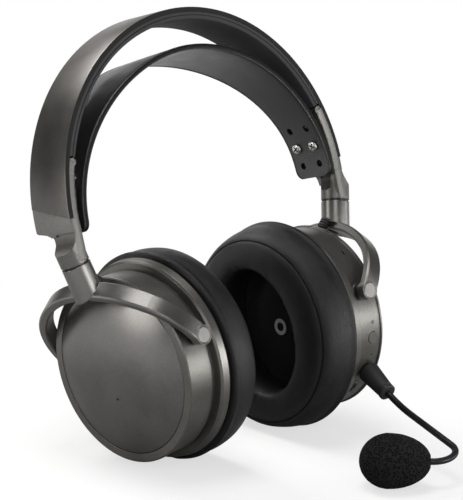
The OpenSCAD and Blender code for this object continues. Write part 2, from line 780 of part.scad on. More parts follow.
// Side wall, rim ring, groove and flange in one moulding
module housing_shell() {
    revolve() polygon([
        [baffle_r, -flange_s], [flange_r - 0.3, -flange_s], [flange_r, -flange_s + 0.5],
        [flange_r - 0.6, -flange_s + flange_t - 1], [flange_r - 1.6, -flange_s + flange_t],
        [wall_r - groove_d, -flange_s + flange_t], [wall_r - groove_d, groove_top],
        [wall_r - 0.3, groove_top], [wall_r, groove_top + 0.3],
        [wall_r, rim_s - 1.8], [rim_r, rim_s - 1.6],
        [rim_r, rim_s - 0.7], [rim_r - 0.7, rim_s], [dome_r + 0.2, rim_s],
        [dome_r + 0.2, dome_seat], [dome_hole, dome_seat], [dome_hole, dome_seat - 1.8],
        [wall_in, dome_seat - 3.5], [wall_in, groove_top + 1], [neck_r, groove_top],
        [neck_r, baffle_seat], [baffle_r, baffle_seat]
    ]);
}

// Bosses inside the wall for the pivot bushes, and their bores
module housing_bosses() {
    translate([0, 0, pivot_rise]) for (side = [0, 1]) mirror([0, side, 0])
        rotate([-90, 0, 0]) translate([0, 0, bush_in]) cylinder(r = bush_r + 1.6, h = wall_t + 4);
}
module housing_bores() {
    translate([0, 0, pivot_rise]) for (side = [0, 1]) mirror([0, side, 0])
        rotate([-90, 0, 0]) translate([0, 0, bush_in - 1]) cylinder(r = bush_r + fit / 5, h = 20);
}

// Vent slot in the wall near the front pivot
module vent_slot() {
    at_wall(41, control_s) translate([0, 0, wall_in - 1]) rotate([0, 0, 90])
        stadium(3.2, 1.2, wall_t + 3);
}

module housing() {
    difference() {
        union() {
            housing_shell();
            housing_bosses();
        }
        housing_bores();
        vent_slot();
    }
}

// Two cheeks inside the wall that hold a thumb wheel's axle
module wheel_cheeks(angle) {
    cheek_t = 1;
    cheek_s = wheel_t / 2 + 0.4;
    at_wall(angle, control_s) difference() {
        for (side = [-1, 1])
            translate([side * (cheek_s + cheek_t / 2) - cheek_t / 2, -3.5, wheel_axis - 3])
                cube([cheek_t, 7, wall_in + 0.6 - wheel_axis + 3]);
        translate([-10, 0, wheel_axis]) rotate([0, 90, 0])
            cylinder(r = axle_r + run, h = 20, $fn = 48);
    }
}

// The left housing carries the controls and the sockets
module housing_left() {
    color([0.27, 0.26, 0.25]) on_cup(true) {
        difference() {
            housing();
            control_openings();
        }
        for (a = wheel_a) wheel_cheeks(a);
    }
}
module housing_right() { color([0.27, 0.26, 0.25]) on_cup(false) housing(); }

// Openings in the left wall for everything that passes through it
opening_in = wall_in - 7;
module through_wall(angle, s) { at_wall(angle, s) translate([0, 0, opening_in]) children(); }
module control_openings() {
    deep = 16;
    through_wall(led_a, control_s) cylinder(r = 0.9 + fit / 2, h = deep, $fn = 32);
    through_wall(power_a, control_s) cylinder(r = power_r + fit, h = deep);
    through_wall(power_a, control_s) cylinder(r = power_r + button_lip + 2 * fit, h = 7);
    through_wall(pinhole_a, control_s) cylinder(r = 0.5, h = deep, $fn = 24);
    through_wall(usb_a, control_s - 3.6) rotate([0, 0, 90])
        stadium(9.4 + fit, 3.6 + fit, deep);
    through_wall(mute_a, control_s) rotate([0, 0, 90])
        stadium(8 + 2 * fit, 3 + 2 * fit, deep);
    through_wall(mute_a, control_s) rotate([0, 0, 90])
        stadium(8 + 2 * button_lip + 4 * fit, 3 + 2 * button_lip + 4 * fit, 7);
    through_wall(aux_a, control_s) cylinder(r = socket_r + fit / 2, h = deep);
    at_mic() translate([0, 0, -12]) cylinder(r = socket_r + fit / 2, h = 20);
    for (a = wheel_a) at_wall(a, control_s) translate([-wheel_t / 2 - 0.4, 0, wheel_axis])
        rotate([0, 90, 0]) {
            cylinder(r = wheel_r + 0.5, h = wheel_t + 0.8);
            cylinder(r = axle_r + 0.3, h = wheel_t + 0.8 + axle_out);
        }
}

// Shallow domed cover with its snap-in skirt
module dome_cover() {
    ball_r = (dome_r * dome_r + dome_h * dome_h) / (2 * dome_h);
    edge = 1.2;
    steps = 10;
    a_max = asin((dome_r - edge) / ball_r);
    outer = [for (i = [0 : steps])
        let (a = a_max * i / steps)
        [ball_r * sin(a), rim_s + dome_h - ball_r + ball_r * cos(a)]];
    inner = [for (i = [steps : -1 : 0])
        let (a = a_max * i / steps)
        [(ball_r - dome_t) * sin(a), rim_s + dome_h - ball_r + (ball_r - dome_t) * cos(a)]];
    difference() {
        revolve() polygon(concat(
            outer,
            [[dome_r, rim_s - 0.3], [dome_r, dome_seat + fit], [dome_hole - fit, dome_seat + fit],
             [dome_hole - fit, dome_seat - skirt_d], [dome_hole - fit - skirt_t, dome_seat - skirt_d],
             [dome_hole - fit - skirt_t, rim_s - 0.6]],
            [for (p = inner) if (p[0] < dome_hole - fit - skirt_t - 0.4) p]
        ));
        translate([0, 0, -12.3]) rotate([0, 90, 0]) cylinder(r = 0.6, h = 40, $fn = 24);
    }
}
module dome_cover_left() { color([0.33, 0.32, 0.31]) on_cup(true) dome_cover(); }
module dome_cover_right() { color([0.33, 0.32, 0.31]) on_cup(false) dome_cover(); }

// Baffle that closes the cup and carries driver and ear pad
module baffle() {
    vents = 16;
    difference() {
        revolve() polygon([
            [driver_open_r - 2, -flange_s + fit], [baffle_r - fit, -flange_s + fit],
            [baffle_r - fit, baffle_seat - fit / 2], [driver_open_r - 2, baffle_seat - fit / 2]
        ]);
        for (i = [0 : vents - 1]) rotate([360 / vents * (i + 0.5), 0, 0])
            translate([-flange_s - 1, 0, driver_open_r + 2.4]) rotate([0, 90, 0])
                cylinder(r = 0.8, h = 4, $fn = 24);
    }
}
module baffle_left() { color([0.07, 0.07, 0.07]) on_cup(true) baffle(); }
module baffle_right() { color([0.07, 0.07, 0.07]) on_cup(false) baffle(); }

// Frame that clamps the diaphragm, with four posts for what is fixed behind it
module driver_frame() {
    film_gap = 0.3;
    bridge_half = sqrt(pow(driver_r - 0.5, 2) - pow(post_ring + 2, 2));
    revolve() polygon([
        [driver_open_r, baffle_seat + fit], [driver_r, baffle_seat + fit],
        [driver_r, frame_back], [driver_open_r, frame_back],
        [driver_open_r, film_s + film_gap], [driver_open_r + 1.5, film_s + film_gap],
        [driver_open_r + 1.5, film_s - film_gap], [driver_open_r, film_s - film_gap]
    ]);
    // bridge over the back, which the magnet bars are bonded to
    for (y = [-1, 1]) translate([frame_back - bridge_t, y * post_ring - 2, -bridge_half])
        cube([bridge_t, 4, 2 * bridge_half]);
    for (y = [-1, 1], z = [-1, 1]) translate([frame_back - 1, y * post_ring, z * 12])
        rotate([0, 90, 0]) cylinder(r = 1.8, h = post_top - frame_back + 1, $fn = 32);
}
module driver_frame_left() { color([0.2, 0.2, 0.2]) on_cup(true) driver_frame(); }
module driver_frame_right() { color([0.2, 0.2, 0.2]) on_cup(false) driver_frame(); }

// Rows of bar magnets behind the diaphragm, each as long as the frame's bridges hold
module magnet_bars() {
    bar_t = 1.4;
    for (i = [0 : bar_count - 1])
        let (
            z = (i - (bar_count - 1) / 2) * bar_pitch,
            half = sqrt(pow(driver_open_r - 1.2, 2) - pow(abs(z) + bar_w / 2, 2))
        )
        translate([frame_back - bridge_t - bar_t, -half, z - bar_w / 2])
            cube([bar_t - fit / 5, 2 * half, bar_w]);
}
module magnet_bars_left() { color([0.45, 0.45, 0.47]) on_cup(true) magnet_bars(); }
module magnet_bars_right() { color([0.45, 0.45, 0.47]) on_cup(false) magnet_bars(); }

// Thin film diaphragm clamped in the frame's slot
module diaphragm() {
    translate([film_s - 0.1, 0, 0]) rotate([0, 90, 0])
        cylinder(r = driver_open_r + 1.3, h = 0.2);
}
module diaphragm_left() { color([0.7, 0.65, 0.5]) on_cup(true) diaphragm(); }
module diaphragm_right() { color([0.7, 0.65, 0.5]) on_cup(false) diaphragm(); }

// ---- Ear pad ------------------------------------------------------------

// Plate that clips the ear pad to the baffle
module pad_plate() {
    revolve() polygon([
        [driver_open_r + 1, plate_s - plate_t], [flange_r - 1.5, plate_s - plate_t],
        [flange_r - 1.5, plate_s], [driver_open_r + 1, plate_s]
    ]);
}
module pad_plate_left() { color([0.06, 0.06, 0.06]) on_cup(true) pad_plate(); }
module pad_plate_right() { color([0.06, 0.06, 0.06]) on_cup(false) pad_plate(); }

// Acoustic cloth stretched over the driver's open face, inside the pad
module pad_cloth() {
    cloth_t = 0.5;
    translate([plate_s - plate_t, 0, 0]) rotate([0, 90, 0])
        cylinder(r = driver_open_r + 1 - fit, h = cloth_t);
}
module pad_cloth_left() { color([0.04, 0.04, 0.04]) on_cup(true) pad_cloth(); }
module pad_cloth_right() { color([0.04, 0.04, 0.04]) on_cup(false) pad_cloth(); }

pad_steps = 56;
// The pad's section, as [share of the way from opening to outer edge, share of its depth]
pad_section = [
    [0.10, 0], [0.02, 0.2], [-0.02, 0.45], [0, 0.72], [0.07, 0.88], [0.2, 0.965], [0.36, 1],
    [0.53, 0.985], [0.68, 0.93], [0.785, 0.845], [0.825, 0.80], [0.85, 0.795], [0.9, 0.80],
    [0.965, 0.72], [1, 0.55], [0.99, 0.35], [0.945, 0.15], [0.9, 0]
];
// Radius of the oval opening at angle a round the cup's axis
function pad_opening(a) =
    let (b = a - pad_open_tilt)
    1 / sqrt(pow(cos(b) / pad_open_h, 2) + pow(sin(b) / pad_open_w, 2));
pad_points = [for (i = [0 : pad_steps - 1])
    let (a = 360 * i / pad_steps, r0 = pad_opening(a))
    for (p = pad_section)
        let (r = r0 + (pad_r - r0) * p[0])
        [pad_s - pad_d * p[1], r * sin(a), r * cos(a)]];
pad_faces = [for (i = [0 : pad_steps - 1], k = [0 : len(pad_section) - 1])
    let (
        m = len(pad_section),
        a = i * m + k,
        b = i * m + (k + 1) % m,
        c = ((i + 1) % pad_steps) * m + k,
        d = ((i + 1) % pad_steps) * m + (k + 1) % m
    )
    each [[a, c, b], [b, c, d]]];

// Leather ear pad with an oval opening, a crowned face and a piped outer seam
module ear_pad() {
    polyhedron(pad_points, pad_faces);
}
module ear_pad_left() { color([0.1, 0.1, 0.1]) on_cup(true) ear_pad(); }
module ear_pad_right() { color([0.1, 0.1, 0.1]) on_cup(false) ear_pad(); }

// ---- Electronics --------------------------------------------------------

// Circuit board on the left driver's posts
module main_board() {
    board_t = 1.2;
    color([0.1, 0.3, 0.2]) on_cup(true) {
        translate([post_top + fit, -post_ring - 4, -16]) cube([board_t, 2 * post_ring + 8, 32]);
        translate([post_top + fit + board_t, -14, -6]) cube([1.2, 12, 12]);
        translate([post_top + fit + board_t, 4, -10]) cube([1, 8, 7]);
    }
}

// Flat cell on the right driver's posts
module battery() {
    color([0.6, 0.6, 0.65]) on_cup(false)
        translate([post_top + fit, -post_ring - 4, -17]) cube([5, 2 * post_ring + 8, 34]);
}

// Round power button with its inner flange
module power_button() {
    color([0.25, 0.24, 0.23]) on_cup(true) at_wall(power_a, control_s) {
        translate([0, 0, wall_in - 1.6]) cylinder(r = power_r, h = wall_r + 0.25 - wall_in + 1.6);
        translate([0, 0, wall_in - 2.4]) cylinder(r = power_r + button_lip, h = 0.9);
    }
}

// Long mute button with its inner flange
module mute_button() {
    color([0.1, 0.1, 0.1]) on_cup(true) at_wall(mute_a, control_s) rotate([0, 0, 90]) {
        translate([0, 0, wall_in - 1.6]) stadium(8, 3, wall_r + 0.5 - wall_in + 1.6);
        translate([0, 0, wall_in - 2.4]) stadium(8 + 2 * button_lip, 3 + 2 * button_lip, 0.9);
    }
}

wheel_axis = wall_r + wheel_out - wheel_r;
axle_r = 1.2;
axle_out = 1.4;

// Knurled thumb wheel on its axle, edge-on in the wall
module thumb_wheel(angle) {
    knurls = 30;
    on_cup(true) at_wall(angle, control_s) translate([0, 0, wheel_axis])
        rotate([0, 90, 0]) {
            difference() {
                translate([0, 0, -wheel_t / 2]) cylinder(r = wheel_r, h = wheel_t);
                for (i = [0 : knurls - 1]) rotate([0, 0, 360 / knurls * i])
                    translate([wheel_r + 0.25, 0, -wheel_t]) cylinder(r = 0.6, h = 2 * wheel_t, $fn = 16);
            }
            translate([0, 0, -wheel_t / 2 - axle_out]) cylinder(r = axle_r, h = wheel_t + 2 * axle_out, $fn = 48);
        }
}
module volume_wheel() { color([0.1, 0.1, 0.1]) thumb_wheel(wheel_a[0]); }
module mix_wheel() { color([0.1, 0.1, 0.1]) thumb_wheel(wheel_a[1]); }

// Charging socket: a flat steel shell with its contact tongue
module usb_port() {
    color([0.6, 0.6, 0.62]) on_cup(true) at_wall(usb_a, control_s - 3.6) rotate([0, 0, 90])
        translate([0, 0, wall_in - 5]) {
            difference() {
                stadium(9.3, 3.5, wall_t + 4.8);
                translate([0, 0, 1]) stadium(8.5, 2.7, 20);
            }
            translate([0, 0, 0.5]) linear_extrude(5) square([6, 0.8], center = true);
        }
}

// Wired audio socket, open to a standard 3.5 mm plug
module aux_socket() {
    color([0.05, 0.05, 0.05]) on_cup(true) at_wall(aux_a, control_s)
        translate([0, 0, wall_r - 0.2 - aux_len - 1]) difference() {
            cylinder(r = socket_r, h = aux_len + 1);
            translate([0, 0, 1]) cylinder(r = jack_r + run, h = aux_len + 1);
        }
}

// Microphone socket, in line with the plug
module mic_socket() {
    color([0.05, 0.05, 0.05]) on_cup(true) at_mic()
        difference() {
            union() {
                translate([0, 0, -4.5]) cylinder(r = socket_r, h = 5);
                translate([0, 0, -jack_len - 1.5]) cylinder(r = jack_r + 0.6, h = jack_len);
            }
            translate([0, 0, -jack_len - 0.5]) cylinder(r = jack_r + run, h = jack_len + 2);
        }
}

// Light pipe of the status lamp
module led_lens() {
    color([0.8, 0.8, 0.8]) on_cup(true) at_wall(led_a, control_s)
        translate([0, 0, wall_in - 1.5]) cylinder(r = 0.9, h = wall_t + 1.5, $fn = 32);
}

// ---- Microphone ---------------------------------------------------------

boot_end_r = boot_r - 1.2;
boot_gap = 1.1;
capsule_z = 5;
capsule_r = 4;
capsule_len = 12;

// A bend of the gooseneck in its XZ plane, with what follows at its end
module bend(r, angle) {
    trim = 0.2 / r * 180 / PI;
    translate([r, 0, 0]) {
        rotate([90, 0, 0]) rotate([0, 0, 180 - angle + trim])
            rotate_extrude(angle = angle - 2 * trim) translate([r, 0]) circle(boom_r, $fn = 32);
        rotate([0, angle, 0]) translate([-r, 0, 0]) {
            collar();
            children();
        }
    }
}

// A straight run of the gooseneck, with what follows at its end
module straight(length) {
    translate([0, 0, 0.2]) cylinder(r = boom_r, h = length - 0.4, $fn = 32);
    translate([0, 0, length]) {
        collar();
        children();
    }
}

// Narrow ring that joins two runs of the gooseneck
module collar() {
    translate([0, 0, -0.6]) cylinder(r = boom_r + 0.25, h = 1.2, $fn = 32);
}

// The gooseneck's end, where its capsule and foam sit, with +Z into the foam
module boom_end() {
    translate([0, 0, boot_gap + boot_len]) rotate([0, 0, mic_turn])
        translate([boom_rise_r, 0, 0]) rotate([0, boom_rise, 0]) translate([-boom_rise_r, 0, boom_run])
            rotate([0, 0, boom_twist]) translate([boom_hook_r, 0, 0]) rotate([0, boom_hook, 0])
                translate([-boom_hook_r, 0, boom_tail]) children();
}

// Turned contact of the plug, with its tip and three rings
module mic_plug() {
    ring = 0.25;
    color([0.85, 0.8, 0.6]) on_cup(true) at_mic() rotate_extrude() polygon([
        [0, -jack_len], [0.6, -jack_len], [jack_r - 0.2, -jack_len + 1.4],
        [jack_r - 0.5, -jack_len + 2.6], [jack_r, -jack_len + 3.4],
        [jack_r, -jack_len + 5], [jack_r - ring, -jack_len + 5], [jack_r - ring, -jack_len + 5.4],
        [jack_r, -jack_len + 5.4], [jack_r, boot_gap + 3], [0, boot_gap + 3]
    ]);
}

// Rubber boot of the plug, tapered, with a collar at its end
module mic_boot() {
    color([0.06, 0.06, 0.06]) on_cup(true) at_mic() translate([0, 0, boot_gap])
        rotate_extrude() polygon([
            [jack_r + fit / 5, 0], [boot_r - 0.6, 0], [boot_r, 0.6],
            [boot_end_r, boot_len - 3], [boot_end_r - 0.3, boot_len - 2.8],
            [boot_end_r - 0.3, boot_len - 2.2], [boot_end_r + 0.1, boot_len - 2],
            [boot_end_r + 0.1, boot_len - 0.5], [boot_end_r - 0.5, boot_len], [0, boot_len],
            [0, 3 + fit / 5], [jack_r + fit / 5, 3 + fit / 5]
        ]);
}

// Gooseneck from the boot to the capsule
module mic_boom() {
    color([0.07, 0.07, 0.07]) on_cup(true) at_mic()
        translate([0, 0, boot_gap + boot_len]) rotate([0, 0, mic_turn])
            bend(boom_rise_r, boom_rise) straight(boom_run) rotate([0, 0, boom_twist])
                bend(boom_hook_r, boom_hook) translate([0, 0, 0.2])
                    cylinder(r = boom_r, h = boom_tail + capsule_z - 0.2, $fn = 32);
}

// Small cylinder that holds the microphone element
module mic_capsule() {
    color([0.3, 0.3, 0.3]) on_cup(true) at_mic() boom_end() translate([0, 0, capsule_z])
        difference() {
            cylinder(r = capsule_r, h = capsule_len, $fn = 48);
            translate([0, 0, capsule_len - 1.4]) cylinder(r = capsule_r - 0.6, h = 3, $fn = 48);
        }
}

// Egg-shaped foam windscreen, narrower where the gooseneck enters
module mic_foam() {
    belly = 0.58 * foam_len;
    steps = 12;
    near = [for (i = [1 : steps - 1])
        let (z = belly * i / steps) [foam_r * sqrt(1 - pow((belly - z) / (belly * 1.03), 2)), z]];
    far = [for (i = [0 : steps - 1])
        let (a = 90 * i / steps) [foam_r * cos(a), belly + (foam_len - belly) * sin(a)]];
    color([0.04, 0.04, 0.04]) on_cup(true) at_mic() boom_end() rotate_extrude()
        polygon(concat(
            [[boom_r + fit, 0], [foam_r * 0.22, 0]], near, far,
            [[0, foam_len], [0, capsule_z + capsule_len + fit],
             [capsule_r + fit, capsule_z + capsule_len + fit],
             [capsule_r + fit, capsule_z - fit], [boom_r + fit, capsule_z - fit]]
        ));
}

outer_cover();
band_liner();
band_spring();
bracket_left();
bracket_right();
head_strap();
strap_plate_left();
strap_plate_right();
strap_screws();
swivel_pin_left();
swivel_pin_right();
swivel_washer_left();
swivel_washer_right();
swivel_clip_left();
swivel_clip_right();
yoke_left();
yoke_right();
cable_sleeve_left();
cable_sleeve_right();
pivot_pins_left();
pivot_pins_right();
pivot_caps_left();
pivot_caps_right();
pivot_bushes_left();
pivot_bushes_right();
housing_left();
housing_right();
dome_cover_left();
dome_cover_right();
baffle_left();
baffle_right();
driver_frame_left();
driver_frame_right();
magnet_bars_left();
magnet_bars_right();
diaphragm_left();
diaphragm_right();
pad_cloth_left();
pad_cloth_right();
pad_plate_left();
pad_plate_right();
ear_pad_left();
ear_pad_right();
main_board();
battery();
power_button();
mute_button();
volume_wheel();
mix_wheel();
usb_port();
aux_socket();
mic_socket();
led_lens();
mic_plug();
mic_boot();
mic_boom();
mic_capsule();
mic_foam();
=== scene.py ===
import json
import math

import bmesh
import bpy
from mathutils import Matrix, Vector, noise


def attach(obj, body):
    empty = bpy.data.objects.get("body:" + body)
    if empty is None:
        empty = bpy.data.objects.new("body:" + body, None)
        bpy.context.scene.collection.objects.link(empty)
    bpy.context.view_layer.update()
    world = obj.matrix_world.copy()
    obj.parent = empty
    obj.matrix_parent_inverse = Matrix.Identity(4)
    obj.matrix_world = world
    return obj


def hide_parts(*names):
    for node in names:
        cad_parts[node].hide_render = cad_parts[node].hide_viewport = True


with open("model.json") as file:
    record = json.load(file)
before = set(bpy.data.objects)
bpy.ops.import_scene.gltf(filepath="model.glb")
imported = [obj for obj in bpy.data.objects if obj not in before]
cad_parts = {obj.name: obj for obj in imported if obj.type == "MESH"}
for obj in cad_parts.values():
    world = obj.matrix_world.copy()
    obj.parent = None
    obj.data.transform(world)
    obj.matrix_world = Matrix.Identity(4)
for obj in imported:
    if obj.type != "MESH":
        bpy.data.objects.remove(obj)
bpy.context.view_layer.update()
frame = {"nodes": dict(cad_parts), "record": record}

# ---- Camera ----------------------------------------------------------------
# A long lens in front of the wearer's right ear, a little above the headset,
# and rolled by less than a degree.
eye = Vector((-0.97252, -0.99910, 0.46709))
aim = Vector((0.00779, 0.03038, 0.09654))
upward = Vector((0.16349, 0.19259, 0.96756))


def new_object(name, data):
    """An object with this data, in the scene."""
    made = bpy.data.objects.new(name, data)
    bpy.context.scene.collection.objects.link(made)
    return made


lens = bpy.data.cameras.new("lens")
lens.lens = 215.16
lens.sensor_width = 36
lens.clip_end = 20
camera = new_object("camera", lens)
back = (eye - aim).normalized()
side = upward.cross(back).normalized()
turned = Matrix((side, back.cross(side), back)).transposed().to_4x4()
camera.matrix_world = Matrix.Translation(eye) @ turned
bpy.context.scene.camera = camera
bpy.context.scene.view_settings.view_transform = "Standard"

# ---- Table and studio light ------------------------------------------------
# A white sweep with a soft contact shadow in a dim room. Soft boxes stand behind,
# overhead, low on the left, in front, on the right and above the camera.
FLOOR_WHITE = (0.88, 0.88, 0.878, 1)
# Where the contact shadow begins to fade and has gone, and how far it is lightened
SHADOW_FROM, SHADOW_REACH, SHADOW_LIFT = 0.187, 0.34, 0.65
# Light of the room on the headset, and its tone in the headset's reflections
AMBIENT, ROOM = 0.30, 0.08
# The ends of the white sweep: sideways as a cosine, and upwards
SWEEP_SIDES, SWEEP_TOP = (0.84, 0.97), (0.75, 0.35)
FLOOR_HALF = 3.0


def grey(tone):
    return (tone, tone, tone, 1)


def feed(tree, ends, wires):
    """Gives each named input a value, or a wire from the socket that feeds it."""
    for key, value in wires.items():
        if isinstance(value, bpy.types.NodeSocket):
            tree.links.new(value, ends[key])
        else:
            ends[key].default_value = value


def node(tree, kind, wires=None, **settings):
    """The outputs of a new shader node with these inputs and settings."""
    made = tree.nodes.new("ShaderNode" + kind)
    for key, value in settings.items():
        setattr(made, key, value)
    feed(tree, made.inputs, wires or {})
    return made.outputs


def spot_on(tree):
    """The place on a piece, in metres."""
    return node(tree, "TexCoord")["Object"]


def calc(tree, operation, *terms):
    """A math node's result."""
    return node(tree, "Math", dict(enumerate(terms)), operation=operation)[0]


def ramp(tree, value, low, high, start=0.0, end=1.0, soft=False):
    """Takes low..high to start..end, in a straight line or softly."""
    return node(tree, "MapRange", {"Value": value, "From Min": low, "From Max": high,
                                   "To Min": start, "To Max": end},
                interpolation_type="SMOOTHSTEP" if soft else "LINEAR")[0]


def between(tree, share, a, b):
    """Colour between a and b."""
    return node(tree, "Mix", {0: share, 6: a, 7: b}, data_type="RGBA")[2]


def piece_from(name, points, faces, coat=None):
    """A smoothly shaded mesh object from its points and faces."""
    mesh = bpy.data.meshes.new(name)
    mesh.from_pydata([tuple(p) for p in points], [], faces)
    mesh.polygons.foreach_set("use_smooth", [True] * len(mesh.polygons))
    if coat:
        mesh.materials.append(coat)
    return new_object(name, mesh)


table_coat = bpy.data.materials.new("white_sweep")
table_coat.use_nodes = True
tree = table_coat.node_tree
tree.nodes.clear()
place = spot_on(tree)
away = node(tree, "VectorMath", {0: place}, operation="LENGTH")["Value"]
fade = ramp(tree, away, SHADOW_FROM, SHADOW_REACH, soft=True)
rays = node(tree, "LightPath")
seen = rays["Is Camera Ray"]
mirrored = calc(tree, "MAXIMUM", rays["Is Glossy Ray"], rays["Is Transmission Ray"])
shade = node(tree, "BsdfDiffuse", {"Color": between(tree, seen, grey(0.30), FLOOR_WHITE)})
glow = node(tree, "Emission", {"Color": grey(1.0), "Strength": 1.0})
lift = calc(tree, "MULTIPLY", seen, ramp(tree, fade, 0.0, 1.0, start=SHADOW_LIFT))
lift = calc(tree, "MULTIPLY_ADD", mirrored, fade, lift)
white = node(tree, "MixShader", {0: lift, 1: shade[0], 2: glow[0]})
node(tree, "OutputMaterial", {"Surface": white[0]})
floor = piece_from("floor", [(x * FLOOR_HALF, y * FLOOR_HALF, 0)
                             for x, y in ((-1, -1), (1, -1), (1, 1), (-1, 1))],
                   [(0, 1, 2, 3)], table_coat)

# The camera sees plain white; what mirrors the room sees the white sweep behind the
# headset, up to the height where it ends, and the dim room everywhere else
world = bpy.data.worlds.new("studio")
bpy.context.scene.world = world
world.use_nodes = True
tree = world.node_tree
tree.nodes.clear()
rays = node(tree, "LightPath")
shiny = calc(tree, "MAXIMUM", rays["Is Glossy Ray"], rays["Is Transmission Ray"])
gaze = node(tree, "TexCoord")["Generated"]
ahead = (aim - eye).normalized()
facing = node(tree, "VectorMath", {0: gaze, 1: (ahead.x, ahead.y, 0)},
              operation="DOT_PRODUCT")["Value"]
height = node(tree, "SeparateXYZ", {0: gaze})["Z"]
sweep = calc(tree, "MULTIPLY", ramp(tree, facing, *SWEEP_SIDES, soft=True),
             ramp(tree, height, *SWEEP_TOP, soft=True))
mirrored = ramp(tree, sweep, 0.0, 1.0, start=ROOM)
level = node(tree, "Mix", {0: shiny, 2: AMBIENT, 3: mirrored})[0]
level = node(tree, "Mix", {0: rays["Is Camera Ray"], 2: level, 3: 1.0})[0]
sky = node(tree, "Background", {"Color": grey(1.0), "Strength": level})
node(tree, "OutputWorld", {"Surface": sky[0]})


def soft_lamp(name, place, width, height, power, tint=(1, 1, 1)):
    """A soft box of that size in metres and power in watts, turned to the headset."""
    light = bpy.data.lights.new(name, "AREA")
    light.shape = "RECTANGLE"
    light.size = width
    light.size_y = height
    light.energy = power
    light.color = tint
    facing = (Vector(place) - aim).to_track_quat("Z", "Y").to_matrix().to_4x4()
    new_object(name, light).matrix_world = Matrix.Translation(place) @ facing


soft_lamp("behind", (-0.05, 0.95, 1.05), 0.6, 0.5, 11.5, (1, 0.99, 0.975))
soft_lamp("overhead", (-0.12, 0.02, 1.30), 0.54, 0.54, 6.8)
soft_lamp("left", (-1.25, 0.50, 0.32), 0.42, 0.36, 5, (1, 0.985, 0.96))
soft_lamp("front", (0.42, -1.25, 0.17), 0.8, 0.3, 10.5)
soft_lamp("right", (1.10, -0.75, 0.12), 0.5, 0.25, 2.8)
soft_lamp("above_camera", (-0.95, -1.05, 0.78), 0.6, 0.6, 4.5)

# ---- Band cover ------------------------------------------------------------
# Pressed aluminium strip with turned-in lips, sprayed a warm dark metallic grey
# outside, with painted shade in matt black on the lips; flecks and rubbed edges show close up.
COVER_GREY = (0.090, 0.085, 0.081, 1)
FLECK_GREY = (0.20, 0.19, 0.18, 1)
RUBBED_METAL = (0.40, 0.39, 0.37, 1)
# Painted shade for the lips, which face fore and aft
LIP_PAINTED_SHADE = grey(0.007)
# The swivel joints, by their distance from the middle, their place and their height
# over the table, and how the headset stands on it: turned by a degree, leaned back
JOINT_X, JOINT_Y, JOINT_H = 87.0, 37.4, 105.9
STAND_TURN, STAND_LEAN = -1.1, -17.4


def turn(axis, degrees):
    return Matrix.Rotation(math.radians(degrees), 4, axis)


def shift_by(x, y, z):
    return Matrix.Translation((x, y, z))


REST = shift_by(0, JOINT_Y, JOINT_H) @ turn("Y", STAND_TURN) @ turn("X", STAND_LEAN)
MIRROR = Matrix.Diagonal((-1, 1, 1, 1))


def shader_group(name, inputs, outputs):
    """A node group with named inputs and outputs, and its two end nodes."""
    made = bpy.data.node_groups.new(name, "ShaderNodeTree")
    for label, value in inputs.items():
        kind = "Color" if isinstance(value, tuple) else "Float"
        socket = made.interface.new_socket(label, in_out="INPUT", socket_type="NodeSocket" + kind)
        socket.default_value = value
    for label, kind in outputs:
        made.interface.new_socket(label, in_out="OUTPUT", socket_type="NodeSocket" + kind)
    return made, made.nodes.new("NodeGroupInput").outputs, made.nodes.new("NodeGroupOutput").inputs


def use(tree, group, wires):
    """A node group placed in a material, with its own values; gives its outputs."""
    made = tree.nodes.new("ShaderNodeGroup")
    made.node_tree = group
    feed(tree, made.inputs, wires)
    return made.outputs


def per_mm(tree, size):
    """Texture scale for a grain of that size in millimetres on metre coordinates."""
    return calc(tree, "DIVIDE", 1000.0, size)


def speckle(tree, place, scale, detail=2.0, roughness=0.5):
    """A soft noise around a half."""
    return node(tree, "TexNoise", {"Vector": place, "Scale": scale, "Detail": detail,
                                   "Roughness": roughness})["Fac"]


def relief(tree, height, strength, depth, **base):
    """A normal from a height, at a depth in metres."""
    return node(tree, "Bump", {"Height": height, "Strength": strength, "Distance": depth,
                               **base})[0]


GRAIN_OUTPUTS = [("Colour", "Color"), ("Height", "Float"), ("Roughness Shift", "Float")]

# Fine flecks in a sprayed metallic coat, with a cloudy change of tone
paint_flecks, given, out = shader_group(
    "paint_flecks", {"Colour": COVER_GREY, "Fleck": FLECK_GREY, "Size": 0.35, "Amount": 0.5},
    GRAIN_OUTPUTS)
tree = paint_flecks
place = spot_on(tree)
fine = speckle(tree, place, per_mm(tree, given["Size"]), roughness=0.6)
cloud = speckle(tree, place, 45.0, detail=3.0)
share = calc(tree, "MULTIPLY", ramp(tree, fine, 0.5, 0.78), given["Amount"])
flecked = between(tree, share, given["Colour"], given["Fleck"])
tone = ramp(tree, cloud, 0.3, 0.7, 0.88, 1.12)
feed(tree, out, {
    "Colour": node(tree, "VectorMath", {0: flecked, 3: tone}, operation="SCALE")[0],
    "Height": fine, "Roughness Shift": ramp(tree, cloud, 0.3, 0.7, -0.05, 0.05)})

# Edges that are slightly rounded and rubbed, broken up by a noise
rubbed_edges, given, out = shader_group(
    "rubbed_edges", {"Colour": COVER_GREY, "Bare": RUBBED_METAL, "Width": 0.4, "Amount": 0.4},
    [("Colour", "Color"), ("Mask", "Float"), ("Normal", "Vector")])
tree = rubbed_edges
wide = calc(tree, "MULTIPLY", given["Width"], 0.001)
round_off = node(tree, "Bevel", {"Radius": wide}, samples=4)[0]
facing = node(tree, "NewGeometry")["Normal"]
agree = node(tree, "VectorMath", {0: round_off, 1: facing}, operation="DOT_PRODUCT")["Value"]
patchy = speckle(tree, spot_on(tree), 700.0, detail=4.0)
mask = calc(tree, "MULTIPLY", ramp(tree, agree, 0.985, 0.86), ramp(tree, patchy, 0.35, 0.65))
mask = calc(tree, "MULTIPLY", mask, given["Amount"])
feed(tree, out, {"Colour": between(tree, mask, given["Colour"], given["Bare"]), "Mask": mask,
                 "Normal": round_off})
